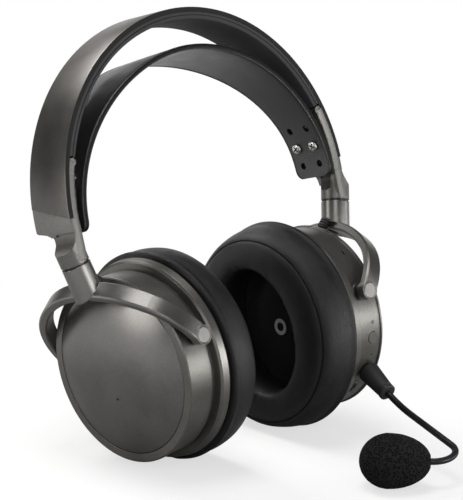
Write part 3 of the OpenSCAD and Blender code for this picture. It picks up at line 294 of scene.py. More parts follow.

# Faces that look along the band's front-to-back line, painted matt black as painted shade
FORE_AND_AFT = REST.to_3x3() @ Vector((0, 1, 0))
lip_shade_faces, given, out = shader_group(
    "lip_shade_faces", {"Colour": COVER_GREY, "Lip Shade Colour": LIP_PAINTED_SHADE, "Metal": 0.85, "Rough": 0.38,
                  "Lip Rough": 0.95},
    [("Colour", "Color"), ("Metallic", "Float"), ("Roughness", "Float")])
tree = lip_shade_faces
facing = node(tree, "NewGeometry")["True Normal"]
straight = node(tree, "VectorMath", {0: facing, 1: FORE_AND_AFT}, operation="DOT_PRODUCT")["Value"]
mask = ramp(tree, calc(tree, "ABSOLUTE", straight), 0.6, 0.75)
feed(tree, out, {"Colour": between(tree, mask, given["Colour"], given["Lip Shade Colour"]),
                 "Metallic": ramp(tree, mask, 0.0, 1.0, given["Metal"], 0.0),
                 "Roughness": ramp(tree, mask, 0.0, 1.0, given["Rough"], given["Lip Rough"])})


def blank(name):
    """A new material, its tree and its surface shader's inputs."""
    made = bpy.data.materials.new(name)
    made.use_nodes = True
    return made, made.node_tree, made.node_tree.nodes["Principled BSDF"].inputs


def painted_metal(name, colour, fleck, metallic, roughness, amount=0.5, wear=0.35, width=0.4,
                  shaded_lips=False):
    """Sprayed metallic coat with flecks, soft tone and rubbed edges; on request, lips in painted
    shade.
    """
    made, tree, surface = blank(name)
    coat = use(tree, paint_flecks, {"Colour": colour, "Fleck": fleck, "Amount": amount})
    edge = use(tree, rubbed_edges, {"Colour": coat["Colour"], "Bare": RUBBED_METAL,
                                    "Width": width, "Amount": wear})
    rough = calc(tree, "ADD", coat["Roughness Shift"], roughness)
    finish = {"Base Color": edge["Colour"], "Metallic": metallic, "Roughness": rough}
    # Painted shade: the lips turn matt black and dull
    if shaded_lips:
        lip_shade = use(tree, lip_shade_faces, {"Colour": edge["Colour"], "Metal": metallic, "Rough": rough})
        finish = {"Base Color": lip_shade["Colour"], "Metallic": lip_shade["Metallic"],
                  "Roughness": lip_shade["Roughness"]}
    finish["Normal"] = relief(tree, coat["Height"], 0.15, 0.00004, Normal=edge["Normal"])
    feed(tree, surface, finish)
    return made


def finish_nodes(coat, *names):
    """Gives carried-over CAD nodes their finish."""
    for name in names:
        mesh = frame["nodes"][name].data
        mesh.materials.clear()
        mesh.materials.append(coat)


BODY_OF = {name: body for body, names in frame["record"]["behaviour"]["bodies"].items()
           for name in names}


def point_outwards(piece, merge=1e-7, slivers=0):
    """Merges doubles, dissolves slivers and turns all faces outwards."""
    shape = bmesh.new()
    shape.from_mesh(piece.data)
    bmesh.ops.remove_doubles(shape, verts=shape.verts, dist=merge)
    if slivers:
        bmesh.ops.dissolve_degenerate(shape, dist=slivers, edges=shape.edges)
    bmesh.ops.recalc_face_normals(shape, faces=shape.faces)
    shape.to_mesh(piece.data)
    shape.free()


def finish_smooth(coat, *names):
    """Puts a joined and smoothly shaded skin of the same shape over CAD nodes."""
    for name in names:
        source = frame["nodes"][name]
        skin = new_object(name + "_skin", source.data.copy())
        skin.matrix_world = source.matrix_world
        skin.data.materials.clear()
        skin.data.materials.append(coat)
        skin.data.attributes.remove(skin.data.attributes["custom_normal"])
        point_outwards(skin, merge=2e-6, slivers=1e-5)
        skin.data.polygons.foreach_set("use_smooth", [True] * len(skin.data.polygons))
        skin.data.set_sharp_from_angle(angle=math.radians(32))
        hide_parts(name)
        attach(skin, BODY_OF[name])


def both(name):
    return name + "_left", name + "_right"


# The cover's lips carry painted shade in matt black
cover_paint = painted_metal("cover_paint", COVER_GREY, FLECK_GREY, 0.85, 0.38, wear=0.12,
                            width=0.3, shaded_lips=True)
finish_smooth(cover_paint, "outer_cover")

# ---- Band liner ------------------------------------------------------------
# Black soft-touch moulding that fills the inside of the band between the
# brackets; a fine spark texture, and dust in the groove along its edges.
LINER_BLACK = grey(0.042)
DUST = (0.16, 0.155, 0.15, 1)

# Spark-eroded mould texture
mould_grain, given, out = shader_group(
    "mould_grain", {"Size": 0.25, "Colour": LINER_BLACK, "Dust": 0.06}, GRAIN_OUTPUTS)
tree = mould_grain
place = spot_on(tree)
fine = speckle(tree, place, per_mm(tree, given["Size"]), detail=3.0, roughness=0.55)
broad = speckle(tree, place, 60.0, detail=4.0)
settle = ramp(tree, broad, 0.42, 0.72, end=given["Dust"])
feed(tree, out, {"Colour": between(tree, settle, given["Colour"], DUST), "Height": fine,
                 "Roughness Shift": ramp(tree, broad, 0.3, 0.7, -0.06, 0.06)})


def moulded_plastic(name, colour, roughness, size=0.25, dust=0.06, depth=0.00004, shine=0.5):
    """Plastic or rubber with the mould's texture, a little dust and soft edges."""
    made, tree, surface = blank(name)
    skin = use(tree, mould_grain, {"Size": size, "Colour": colour, "Dust": dust})
    edge = use(tree, rubbed_edges, {"Colour": skin["Colour"], "Bare": DUST, "Width": 0.3,
                                    "Amount": 0.05})
    feed(tree, surface, {
        "Base Color": edge["Colour"], "Specular IOR Level": shine,
        "Roughness": calc(tree, "ADD", skin["Roughness Shift"], roughness),
        "Normal": relief(tree, skin["Height"], 0.3, depth, Normal=edge["Normal"])})
    return made


liner_plastic = moulded_plastic("liner_plastic", LINER_BLACK, 0.66, depth=0.00001, shine=0.1)
finish_smooth(liner_plastic, "band_liner")

# ---- Spring and other steel ------------------------------------------------
# Blue-grey spring steel strip inside the band, and the turned or stamped
# steel pieces: swivel and pivot pins, retaining clips and charging shell.
STEEL = (0.48, 0.49, 0.50, 1)

# Fine drawn lines in bare steel
drawn_lines, given, out = shader_group(
    "drawn_lines", {"Colour": STEEL, "Pitch": 0.12},
    [("Colour", "Color"), ("Height", "Float"), ("Roughness", "Float")])
tree = drawn_lines
place = spot_on(tree)
squeeze = node(tree, "Mapping", {"Vector": place, "Scale": (1.0, 1.0, 0.08)})[0]
smear = speckle(tree, place, 120.0)
dulled = node(tree, "VectorMath", {0: given["Colour"], 1: (0.72, 0.72, 0.73)},
              operation="MULTIPLY")[0]
feed(tree, out, {"Colour": between(tree, smear, given["Colour"], dulled),
                 "Height": speckle(tree, squeeze, per_mm(tree, given["Pitch"])),
                 "Roughness": ramp(tree, smear, 0.3, 0.7, 0.2, 0.38)})


def bare_metal(name, colour, pitch=0.12):
    """Bare or plated metal with drawn lines and bright edges."""
    made, tree, surface = blank(name)
    skin = use(tree, drawn_lines, {"Colour": colour, "Pitch": pitch})
    edge = use(tree, rubbed_edges, {"Colour": skin["Colour"], "Bare": grey(0.8),
                                    "Width": 0.2, "Amount": 0.5})
    feed(tree, surface, {
        "Base Color": edge["Colour"], "Metallic": 1.0, "Roughness": skin["Roughness"],
        "Normal": relief(tree, skin["Height"], 0.3, 0.00003, Normal=edge["Normal"])})
    return made


steel = bare_metal("steel", STEEL)
finish_nodes(steel, "band_spring", *both("swivel_pin"), *both("swivel_clip"),
             *both("pivot_pins"), "usb_port")

# ---- End brackets ----------------------------------------------------------
# Die-cast brackets with the post in one piece, sprayed a lighter, more
# metallic grey than the cover that slides over their tongues.
CASTING_GREY = (0.128, 0.126, 0.117, 1)
casting = painted_metal("casting_paint", CASTING_GREY, (0.38, 0.37, 0.345, 1), 0.85, 0.44,
                        amount=0.45, wear=0.2, width=0.5)
finish_smooth(casting, *both("bracket"))

# ---- Head strap ------------------------------------------------------------
# Padded leatherette strap on a flexible core, 3 mm thick, with a rolled bead
# along both edges and six punched holes at each end; two take screws.
STRAP_SPAN, STRAP_FOOT, STRAP_RISE, STRAP_POWER = 81.6, 16.0, 73.0, 1.96
STRAP_TOP_W, STRAP_END_W, STRAP_T, PADDING = 44.0, 26.0, 3.0, 1.12
STRAP_TOP_Y, STRAP_END_Y, STRAP_SLOPE = 10.8, 4.3, 0.06
# How soon and how sharply the strap narrows away from its top
TAPER_RATE, TAPER_POWER = 1.08, 2.2
# The strap's rounded tip, in degrees along its arc, and how much it narrows there
STRAP_LAST, STRAP_TIP, TIP_NARROWS = 91.8, 4, 5
ROW_H, ROW_TILT, ROW_GAP, HOLE_GAP, HOLE_R = 30.4, 12.7, 9.6, 12.0, 1.8
LEATHER_BLACK = (0.014, 0.014, 0.0145, 1)


def placed(frame_mm, points):
    """Points in millimetres of a frame, as metres on the table."""
    return [(frame_mm @ Vector(p)) * 0.001 for p in points]


def circle(radius, sides):
    """Points [cosine, sine] round a circle."""
    return [(radius * math.cos(math.tau * k / sides), radius * math.sin(math.tau * k / sides))
            for k in range(sides)]


def quads(rings, sides, first=0, last_to_first=False, open_rings=False):
    """Quads between rings of points, whose numbers start at first."""
    return [(first + i * sides + k, first + (i + 1) % rings * sides + k,
             first + (i + 1) % rings * sides + (k + 1) % sides, first + i * sides + (k + 1) % sides)
            for i in range(rings - (not last_to_first)) for k in range(sides - open_rings)]


def prism(outline, z_low, z_high):
    """Points and faces of an outline [x, y] raised between two heights."""
    n = len(outline)
    return ([(x, y, z) for z in (z_low, z_high) for x, y in outline],
            quads(2, n) + [tuple(reversed(range(n))), tuple(range(n, 2 * n))])


def gathered(parts):
    """Points and faces of several parts as one, each with its own frame."""
    points, faces = [], []
    for frame_mm, (part_points, part_faces) in parts:
        faces += [tuple(len(points) + k for k in face) for face in part_faces]
        points += placed(frame_mm, part_points)
    return points, faces


def apply_modifiers(piece):
    """Puts the modifiers' result into the piece's own mesh."""
    ready = bpy.context.evaluated_depsgraph_get()
    mesh = bpy.data.meshes.new_from_object(piece.evaluated_get(ready))
    piece.modifiers.clear()
    old, piece.data = piece.data, mesh
    bpy.data.meshes.remove(old)


def carve(piece, points, faces, coat=None, sharp=35):
    """Cuts a tool's shape out of a piece; walls get the tool's finish, if it has one."""
    tool = piece_from("tool", points, faces, coat)
    point_outwards(tool)
    cut = piece.modifiers.new("cut", "BOOLEAN")
    cut.object = tool
    cut.operation = "DIFFERENCE"
    cut.solver = "EXACT"
    if coat:
        cut.material_mode = "TRANSFER"
    apply_modifiers(piece)
    bpy.data.objects.remove(tool)
    piece.data.set_sharp_from_angle(angle=math.radians(sharp))


def power_of(value, exponent):
    return math.copysign(abs(value) ** exponent, value)


def strap_at(angle):
    """The strap's middle line [x, z], a flattened arch, at an angle from its top."""
    a = math.radians(angle)
    return Vector((STRAP_SPAN * power_of(math.sin(a), 2 / STRAP_POWER),
                   STRAP_FOOT + STRAP_RISE * power_of(math.cos(a), 2 / STRAP_POWER)))


def strap_frame(angle):
    """Path point, outward direction, half width, middle and top share at an angle."""
    ahead = strap_at(angle + 0.5) - strap_at(angle - 0.5)
    outward = Vector((-ahead[1], ahead[0])).normalized()
    share = max(0, math.cos(math.radians(min(90, abs(angle) * TAPER_RATE)))) ** TAPER_POWER
    tip = max(0, abs(angle) - STRAP_LAST + STRAP_TIP) / STRAP_TIP
    half = (STRAP_END_W + (STRAP_TOP_W - STRAP_END_W) * share) / 2
    half -= TIP_NARROWS * (1 - math.sqrt(max(0, 1 - tip * tip)))
    middle = STRAP_END_Y + (STRAP_TOP_Y - STRAP_END_Y) * share
    return strap_at(angle), outward, half, middle, share


# Creased leather: pebbles between fine lines, and a broad unevenness
leather_grain, given, out = shader_group(
    "leather_grain", {"Pebble": 0.9, "Colour": LEATHER_BLACK, "Worn": grey(0.03)}, GRAIN_OUTPUTS)
tree = leather_grain
place = spot_on(tree)
bend_by = node(tree, "TexNoise", {"Vector": place, "Scale": 400.0, "Detail": 2.0})["Color"]
warped = node(tree, "VectorMath", {0: bend_by, 1: (0.0012, 0.0012, 0.0012), 2: place},
              operation="MULTIPLY_ADD")[0]
small = calc(tree, "MULTIPLY", given["Pebble"], 0.42)
cell, pore = (node(tree, "TexVoronoi", {"Vector": warped, "Scale": per_mm(tree, size)},
                   feature="DISTANCE_TO_EDGE")["Distance"] for size in (given["Pebble"], small))
crease = ramp(tree, cell, 0.0, 0.16, soft=True)
broad = speckle(tree, place, 70.0, detail=4.0)
rub = calc(tree, "MULTIPLY", crease, broad)
feed(tree, out, {"Colour": between(tree, rub, given["Colour"], given["Worn"]),
                 "Height": calc(tree, "ADD", crease, ramp(tree, pore, 0.0, 0.25, end=0.35)),
                 "Roughness Shift": ramp(tree, broad, 0.3, 0.7, -0.07, 0.07)})


def leather(name, colour, worn, roughness, pebble, depth, shine):
    """Creased leather, lighter where it is worn."""
    made, tree, surface = blank(name)
    hide = use(tree, leather_grain, {"Pebble": pebble, "Colour": colour, "Worn": worn})
    feed(tree, surface, {"Base Color": hide["Colour"], "Specular IOR Level": shine,
                         "Roughness": calc(tree, "ADD", hide["Roughness Shift"], roughness),
                         "Normal": relief(tree, hide["Height"], 0.5, depth)})
    return made


# Across the strap, as [share of the half width, share of the thickness]: a soft
# flat pad between two beads
STRAP_SECTION = [(0.0, 0.44), (0.3, 0.43), (0.6, 0.42), (0.8, 0.39), (0.9, 0.36), (0.928, 0.33),
                 (0.936, 0.26), (0.945, 0.35), (0.965, 0.41), (0.98, 0.37), (0.994, 0.27),
                 (1.0, 0.1)]
strap_loop = STRAP_SECTION + [(u, -v) for u, v in reversed(STRAP_SECTION)]
strap_loop += [(-u, v) for u, v in reversed(strap_loop[1:-1])]
strap_tips = [86.8, 88.0, 89.2, 90.2, 90.9, 91.4, 91.7]
strap_steps = [-a for a in reversed(strap_tips)] + list(range(-86, 87, 2)) + strap_tips
strap_points = []
for angle in strap_steps:
    path, outward, half, middle, share = strap_frame(angle)
    for u, v in strap_loop:
        across, lift = u * half, v * STRAP_T * PADDING
        strap_points.append((path[0] + outward[0] * lift, middle + across,
                             path[1] + outward[1] * lift - STRAP_SLOPE * across * share))
ring, rings = len(strap_loop), len(strap_steps)
strap_faces = quads(rings, ring) + [tuple(range(ring)),
                                    tuple(reversed(range((rings - 1) * ring, rings * ring)))]
strap_leather = leather("strap_leather", (0.005, 0.005, 0.0052, 1), (0.013, 0.013, 0.0133, 1), 0.34,
                        pebble=0.6, depth=0.00006, shine=0.75)
edge_paint = moulded_plastic("edge_paint", grey(0.005), 0.6, size=0.4, dust=0.02, shine=0.15)
strap = piece_from("strap", placed(REST, strap_points), strap_faces, strap_leather)
strap.data.materials.append(edge_paint)
# Painted edges: the beads' outermost faces, and the two tips
half_loop, side_faces = len(STRAP_SECTION), (rings - 1) * ring
for face in strap.data.polygons:
    spot = face.index % ring % (ring // 2)
    face.material_index = int(half_loop - 2 <= spot <= half_loop or face.index >= side_faces)
point_outwards(strap)

# The middle of each end's holes, with Z through the strap and X along it
row_z = (ROW_H - STRAP_FOOT) / STRAP_RISE
row_x = STRAP_SPAN * (1 - row_z ** STRAP_POWER) ** (1 / STRAP_POWER)
row_frames = [REST @ hand @ shift_by(row_x, STRAP_END_Y, ROW_H) @ turn("Y", 90 - ROW_TILT)
              for hand in (Matrix.Identity(4), MIRROR)]
punch = prism(circle(HOLE_R, 24), -8, 8)
carve(strap, *gathered([(row_frame @ shift_by(-row * ROW_GAP, y, 0), punch)
                        for row_frame in row_frames for row in (-1, 0, 1)
                        for y in (-HOLE_GAP / 2, HOLE_GAP / 2)]), sharp=50)
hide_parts("head_strap")
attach(strap, "headband")

# ---- Strap screws and plates -----------------------------------------------
# Nickel-plated pan-head screws with a cross recess, turned up to the strap's
# middle holes, and the moulded plates behind the strap.
SCREW_LINE = [(-3.1, 0.0), (-3.09, 0.9), (-3.0, 1.7), (-2.8, 2.3), (-2.45, 2.62), (-2.1, 2.7),
              (-1.7, 2.7), (-1.62, 2.6), (-1.62, 1.25), (5.0, 1.25), (5.3, 0.95), (5.3, 0.0)]
CROSS_HALF, CROSS_ARM = 0.36, 1.75
CROSS_TOP, CROSS_FLOOR = -4.0, -2.3


def spun(profile, sides, closed=True):
    """Points and faces of a profile of [along, radius] turned about the X axis."""
    points = [(x, r * s, r * c) for c, s in circle(1, sides) for x, r in profile]
    return points, quads(sides, len(profile), last_to_first=True, open_rings=not closed)


screw_metal = bare_metal("plated_screw", (0.72, 0.71, 0.68, 1), pitch=0.2)
# Painted shade: the cross recesses' walls are near-black
recess_painted_shade = moulded_plastic("recess_painted_shade", grey(0.02), 0.6)
# A quarter of the cross, turned four times
quarter = [(CROSS_HALF, CROSS_ARM), (CROSS_HALF, CROSS_HALF), (CROSS_ARM, CROSS_HALF)]
cross_line = []
for k in range(4):
    cross_line += quarter
    quarter = [(y, -x) for x, y in quarter]
screw_seats = [row_frame @ shift_by(0, y, 0) @ turn("Z", twist) for row_frame in row_frames
               for y, twist in ((-HOLE_GAP / 2, 25), (HOLE_GAP / 2, 60))]
screws = piece_from("cross_screws", *gathered([(seat @ turn("Y", -90),
                                                spun(SCREW_LINE, 32, closed=False))
                                               for seat in screw_seats]), screw_metal)
point_outwards(screws)
carve(screws, *gathered([(seat, prism(cross_line, CROSS_TOP, CROSS_FLOOR))
                         for seat in screw_seats]), recess_painted_shade)
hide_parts("strap_screws")
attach(screws, "headband")
black_plastic = moulded_plastic("black_plastic", grey(0.014), 0.42)
finish_nodes(black_plastic, *both("strap_plate"), *both("pivot_bushes"), *both("baffle"),
             *both("pad_plate"), "aux_socket", "mic_socket", "mic_capsule")
finish_smooth(black_plastic, *both("swivel_washer"), "mute_button", "volume_wheel", "mix_wheel")

# ---- Yokes -----------------------------------------------------------------
# Die-cast forks with a barrel that turns on the post, painted like the cups
# but rubbed brighter along their edges.
YOKE_GREY = (0.165, 0.16, 0.152, 1)
yoke_paint = painted_metal("yoke_paint", YOKE_GREY, (0.36, 0.35, 0.33, 1), 0.85, 0.34,
                           amount=0.45, wear=0.45, width=0.7)
finish_smooth(yoke_paint, *both("yoke"), *both("pivot_caps"))

# ---- Cable sleeves ---------------------------------------------------------
# Ribbed rubber sleeves where the wires leave the yoke for the cup, and the
# microphone's boot, moulded in the same rubber.
rubber = moulded_plastic("soft_rubber", (0.010, 0.010, 0.0105, 1), 0.62, size=0.18, dust=0.03)
finish_smooth(rubber, *both("cable_sleeve"), "mic_boot")

# ---- Housings and dome covers ----------------------------------------------
# Moulded cups and snap-in shallow domes with a satin metallic coat.
HOUSING_GREY = (0.148, 0.145, 0.134, 1)
DOME_GREY = (0.155, 0.150, 0.145, 1)
# The post drops from the joint at its lean, and the yoke reaches on to the pivots
POST_LEAN, POST_DROP, REACH_LEAN, YOKE_REACH = 15, 14, 41, 41.3
CUP_BACK, CUP_DROP = 8, 9.6
DROOP = {"left": 0.5, "right": 4.5}
TURNED = {"left": 0.0, "right": -2.0}
DOME_R, DOME_H, DOME_T, RIM_S, DOME_SEAT = 41.5, 8.0, 1.8, 10.4, 8.2
# The dome falls to its edge by this power of the radius, stands back from its rim,
# turns down its edge, and hooks in behind the rim with a flat lip
DOME_POWER, RIM_GAP, DOME_SUNK, DOME_EDGE, DOME_LIP = 2.35, 0.25, 0.1, 0.35, 3.5
EDGE_EASE, SEAT_EASE, DOME_INSIDE, DOME_STEPS = 0.02, 0.05, 0.93, 25
PINHOLE_Z, PINHOLE_R = -12.3, 0.6

housing_paint = painted_metal("housing_paint", HOUSING_GREY, (0.34, 0.33, 0.31, 1), 0.85, 0.36,
                              wear=0.3, width=0.35)
finish_smooth(housing_paint, *both("housing"), "power_button")
dome_paint = painted_metal("dome_paint", DOME_GREY, (0.34, 0.33, 0.315, 1), 0.88, 0.34,
                           wear=0.3, width=0.35)


def reach(length, lean):
    """X and Z of a length that hangs down and leans inwards."""
    return (-length * math.sin(math.radians(lean)), -length * math.cos(math.radians(lean)))


def cup_frame(hand):
    """A cup's own frame in millimetres: +X outboard along its axis, +Z up."""
    post_x, post_z = reach(POST_DROP, POST_LEAN)
    arm_x, arm_z = reach(YOKE_REACH, REACH_LEAN)
    on_side = REST if hand == "left" else REST @ MIRROR
    return (on_side @ shift_by(JOINT_X, 0, 0) @ turn("Y", POST_LEAN) @ turn("Z", TURNED[hand])
            @ turn("Y", -POST_LEAN) @ shift_by(post_x + arm_x, CUP_BACK, post_z + arm_z)
            @ turn("Y", DROOP[hand]) @ shift_by(0, 0, -CUP_DROP))


dome_line = []
for k in range(DOME_STEPS + 1):
    r = (DOME_R - RIM_GAP) * math.sin(math.pi / 2 * k / DOME_STEPS)
    dome_line.append((RIM_S - DOME_SUNK + DOME_H * (1 - (r / DOME_R) ** DOME_POWER), r))
dome_line += [(RIM_S - DOME_EDGE, DOME_R - EDGE_EASE), (DOME_SEAT + SEAT_EASE, DOME_R - EDGE_EASE),
              (DOME_SEAT + SEAT_EASE, DOME_R - DOME_LIP)]
dome_line += [(x - DOME_T, r * DOME_INSIDE) for x, r in reversed(dome_line[:DOME_STEPS - 1])]
pinhole_line = [(0.0, 0.0), (0.0, PINHOLE_R), (30.0, PINHOLE_R), (30.0, 0.0)]
for hand in ("left", "right"):
    points, faces = spun(dome_line, 160)
    dome = piece_from("dome_" + hand, placed(cup_frame(hand), points), faces, dome_paint)
    point_outwards(dome)
    points, faces = spun(pinhole_line, 24, closed=False)
    carve(dome, placed(cup_frame(hand) @ shift_by(0, 0, PINHOLE_Z), points), faces, sharp=40)
    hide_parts("dome_cover_" + hand)
    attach(dome, "cup_" + hand)

# ---- Drivers ---------------------------------------------------------------
# Glass-filled frame, nickel-plated bar magnets and an amber film with fine
# conductor lines, all behind the ear pad's cloth.
driver_plastic = moulded_plastic("driver_plastic", (0.03, 0.03, 0.032, 1), 0.55, size=0.6)
finish_nodes(driver_plastic, *both("driver_frame"))
magnet_metal = bare_metal("magnet_plating", (0.42, 0.42, 0.44, 1), pitch=0.4)
finish_nodes(magnet_metal, *both("magnet_bars"))

film, tree, surface = blank("diaphragm_film")
lines = node(tree, "TexWave", {"Vector": spot_on(tree), "Scale": 260.0,
                               "Distortion": 0.4}, bands_direction="Z")["Fac"]
feed(tree, surface, {
    "Base Color": between(tree, lines, (0.38, 0.22, 0.07, 1), (0.62, 0.58, 0.50, 1)),
    "Normal": relief(tree, lines, 0.3, 0.00005), "Roughness": 0.25})
finish_nodes(film, *both("diaphragm"))

# ---- Ear cloths ------------------------------------------------------------
# Fine black acoustic cloth stretched over a ring inside each pad; the left one
# carries a plain grey printed ring at the back, below the middle.
CLOTH_R, CLOTH_S, CLOTH_SAG, CLOTH_T = 36.8, -13.94, 0.25, 0.3
CLOTH_RINGS, CLOTH_SIDES = 20, 72
MARK_Y, MARK_Z, MARK_OUT, MARK_IN = 2.6, -1.4, 4.3, 2.2
INK_S, INK_T, INK_EDGE = -14.26, 0.12, 0.15

# Plain weave: threads over and under, with painted shade in the gaps between them
plain_weave, given, out = shader_group(
    "plain_weave", {"Pitch": 0.35, "Thread": grey(0.005), "Gap Shade": grey(0.001)},
    [("Colour", "Color"), ("Height", "Float")])
tree = plain_weave
spot = node(tree, "UVMap", uv_map="cloth")[0]
scale = calc(tree, "DIVIDE", 1000.0 * math.tau, given["Pitch"])
split = node(tree, "SeparateXYZ", {0: node(tree, "VectorMath", {0: spot, 3: scale},
                                           operation="SCALE")[0]})
warp, weft = (calc(tree, "SINE", split[way]) for way in "XY")
high = ramp(tree, calc(tree, "MULTIPLY", warp, weft), -1.0, 1.0)
feed(tree, out, {"Colour": between(tree, high, given["Gap Shade"], given["Thread"]), "Height": high})

cloth_weave, tree, surface = blank("ear_cloth")
weave = use(tree, plain_weave, {"Pitch": 0.55})
feed(tree, surface, {"Base Color": weave["Colour"], "Roughness": 0.9,
                     "Normal": relief(tree, weave["Height"], 0.5, 0.0001)})


flat = [(0.0, 0.0)] + [(y, z) for i in range(1, CLOTH_RINGS + 1)
                       for z, y in circle(CLOTH_R * i / CLOTH_RINGS, CLOTH_SIDES)]
cloth_points = [(CLOTH_S + CLOTH_SAG * (1 - math.hypot(y, z) ** 2 / CLOTH_R ** 2), y, z)
                for y, z in flat]
cloth_faces = [(0, 1 + k, 1 + (k + 1) % CLOTH_SIDES) for k in range(CLOTH_SIDES)]
cloth_faces += quads(CLOTH_RINGS, CLOTH_SIDES, first=1)
for hand in ("left", "right"):
    cloth = piece_from("ear_cloth_" + hand, placed(cup_frame(hand), cloth_points), cloth_faces,
                       cloth_weave)
    uv = cloth.data.uv_layers.new(name="cloth")
    for loop in cloth.data.loops:
        uv.data[loop.index].uv = Vector(flat[loop.vertex_index]) * 0.001
    thick = cloth.modifiers.new("cloth", "SOLIDIFY")
    thick.thickness = CLOTH_T * 0.001
    apply_modifiers(cloth)
    point_outwards(cloth)
    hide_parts("pad_cloth_" + hand)
    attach(cloth, "cup_" + hand)

# The printed ring, a film of ink that lies on the left cloth
ink, tree, surface = blank("grey_print")
print_grain = use(tree, mould_grain, {"Size": 0.12, "Colour": grey(0.36),
                                      "Dust": 0.25})
feed(tree, surface, {"Base Color": print_grain["Colour"], "Roughness": 0.7})
mark_line = [(MARK_OUT, 0.0), (MARK_OUT - INK_EDGE, -INK_T), (MARK_IN + INK_EDGE, -INK_T),
             (MARK_IN, 0.0)]
mark_points = [(INK_S + s, MARK_Y + y, MARK_Z + z)
               for r, s in mark_line for z, y in circle(r, 40)]
mark = piece_from("cloth_mark", placed(cup_frame("left"), mark_points),
                  quads(4, 40, last_to_first=True), ink)
point_outwards(mark)
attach(mark, "cup_left")

# ---- Ear pads --------------------------------------------------------------
# Foam rings in soft black leather with an oval opening, crowned towards the
# head, sewn along a sunk seam, and gathered slightly at the opening.
PAD_R, PAD_S, PAD_DEPTH, PAD_SIDES = 52.5, -14.1, 21.0, 180
# The leather stands this far inside the pad's own size
LEATHER_IN = 0.35
OPEN_H, OPEN_W, OPEN_TILT = 32.0, 25.0, 8.0
# How far the crown has shrunk and settled on each pad
PAD_TAPER = {"left": 1.7, "right": 0.4}
PAD_SAG = {"left": 1.5, "right": 0.2}
# The furthest that the leather moves when it is blown up, and for how many frames
BLOWN_LIMIT, BLOWN_FRAMES = 0.8, 12
# Depth of the puckers at the opening and beside the seam, and of the unevenness
OPENING_PUCKER, SEAM_PUCKER, UNEVEN_DOWN, UNEVEN_IN = 0.55, 0.3, 0.3, 0.25
# From the opening's plate over the crown and the seam to the outer edge, as
# [share of the way out, share of the depth]
PAD_SECTION = [(0.10, 0.0), (0.02, 0.2), (-0.02, 0.45), (-0.015, 0.72), (0.035, 0.89),
               (0.11, 0.96), (0.22, 0.99), (0.36, 1.0), (0.53, 0.985), (0.68, 0.94),
               (0.755, 0.895), (0.775, 0.875), (0.785, 0.845), (0.80, 0.865), (0.83, 0.86),
               (0.90, 0.80), (0.955, 0.69), (0.99, 0.52), (1.0, 0.36), (0.98, 0.16), (0.94, 0.0)]


def curve_through(points, steps):
    """Closed smooth curve through the points."""
    made, n = [], len(points)
    for i in range(n):
        p0, p1, p2, p3 = (points[(i + k) % n] for k in (-1, 0, 1, 2))
        for k in range(steps):
            t = k / steps
            made.append(tuple(
                0.5 * (2 * b + (c - a) * t + (2 * a - 5 * b + 4 * c - d) * t * t
                       + (3 * b - a - 3 * c + d) * t ** 3)
                for a, b, c, d in zip(p0, p1, p2, p3)))
    return made


def pad_shape():
    """The pad's rings of points in the cup's frame."""
    points = []
    for i in range(PAD_SIDES):
        a = math.radians(360 * i / PAD_SIDES)
        b = math.radians(360 * i / PAD_SIDES - OPEN_TILT)
        inner = 1 / math.hypot(math.cos(b) / OPEN_H, math.sin(b) / OPEN_W)
        for share, depth in pad_loop:
            r = inner + (PAD_R - LEATHER_IN - inner) * share
            points.append((PAD_S - (PAD_DEPTH - LEATHER_IN) * depth, r * math.sin(a),
                           r * math.cos(a)))
    return points


def gather(points):
    """Puckers at the opening and beside the seam, and a slight unevenness."""
    made = []
    for n, p in enumerate(points):
        share, depth = pad_loop[n % loop_size]
        angle = math.tau * (n // loop_size) / PAD_SIDES
        ring_at = Vector((math.sin(angle) * 9, math.cos(angle) * 9, 0))
        pucker = noise.noise(ring_at * 1.9 + Vector((0, 0, share)))
        uneven = noise.noise(ring_at * 0.35 + Vector((0, 0, share * 2.2 + 5)))
        by_opening = math.exp(-((share - 0.06) / 0.13) ** 2) * (depth > 0.35)
        by_seam = math.exp(-((share - 0.785) / 0.05) ** 2) * (depth > 0.6)
        down = (OPENING_PUCKER * pucker * by_opening + SEAM_PUCKER * pucker * by_seam
                + UNEVEN_DOWN * uneven * (depth > 0.2))
        keep = 1 + min(0, UNEVEN_IN * uneven * (share > 0.9)) / math.hypot(p[1], p[2])
        made.append((p[0] + down, p[1] * keep, p[2] * keep))
    return made


pad_leather = leather("pad_leather", grey(0.006), (0.014, 0.014, 0.0138, 1), 0.42,
                      pebble=0.8, depth=0.00012, shine=0.32)
pad_loop = curve_through(PAD_SECTION, 3)
loop_size = len(pad_loop)
pad_points, pad_faces = pad_shape(), quads(PAD_SIDES, loop_size, last_to_first=True)
# Blown up against its stitched edge, so that the leather stands full over the foam
trial = piece_from("pad_trial", [Vector(p) * 0.001 for p in pad_points], pad_faces)
point_outwards(trial)
held = trial.vertex_groups.new(name="held")
sewn = [k for k, (share, depth) in enumerate(pad_loop)
        if depth < 0.12 or 0.77 < share < 0.80 and depth > 0.6]
held.add([i * loop_size + k for i in range(PAD_SIDES) for k in sewn], 1.0, "REPLACE")
cloth = trial.modifiers.new("leather", "CLOTH").settings
cloth.quality = 5
cloth.mass = 0.3
cloth.tension_stiffness = cloth.compression_stiffness = 25
cloth.bending_stiffness = 4
cloth.use_pressure = True
cloth.uniform_pressure_force = 4
cloth.vertex_group_mass = "held"
cloth.effector_weights.gravity = 0
for moment in range(1, BLOWN_FRAMES + 1):
    bpy.context.scene.frame_set(moment)
ready = bpy.context.evaluated_depsgraph_get()
blown = [v.co * 1000 for v in trial.evaluated_get(ready).data.vertices]
bpy.context.scene.frame_set(1)
for n, (before, after) in enumerate(zip(pad_points, blown)):
    move = after - Vector(before)
    pad_points[n] = tuple(Vector(before) + move * min(1, BLOWN_LIMIT / max(move.length, 1e-9)))
bpy.data.objects.remove(trial)
pad_points = gather(pad_points)
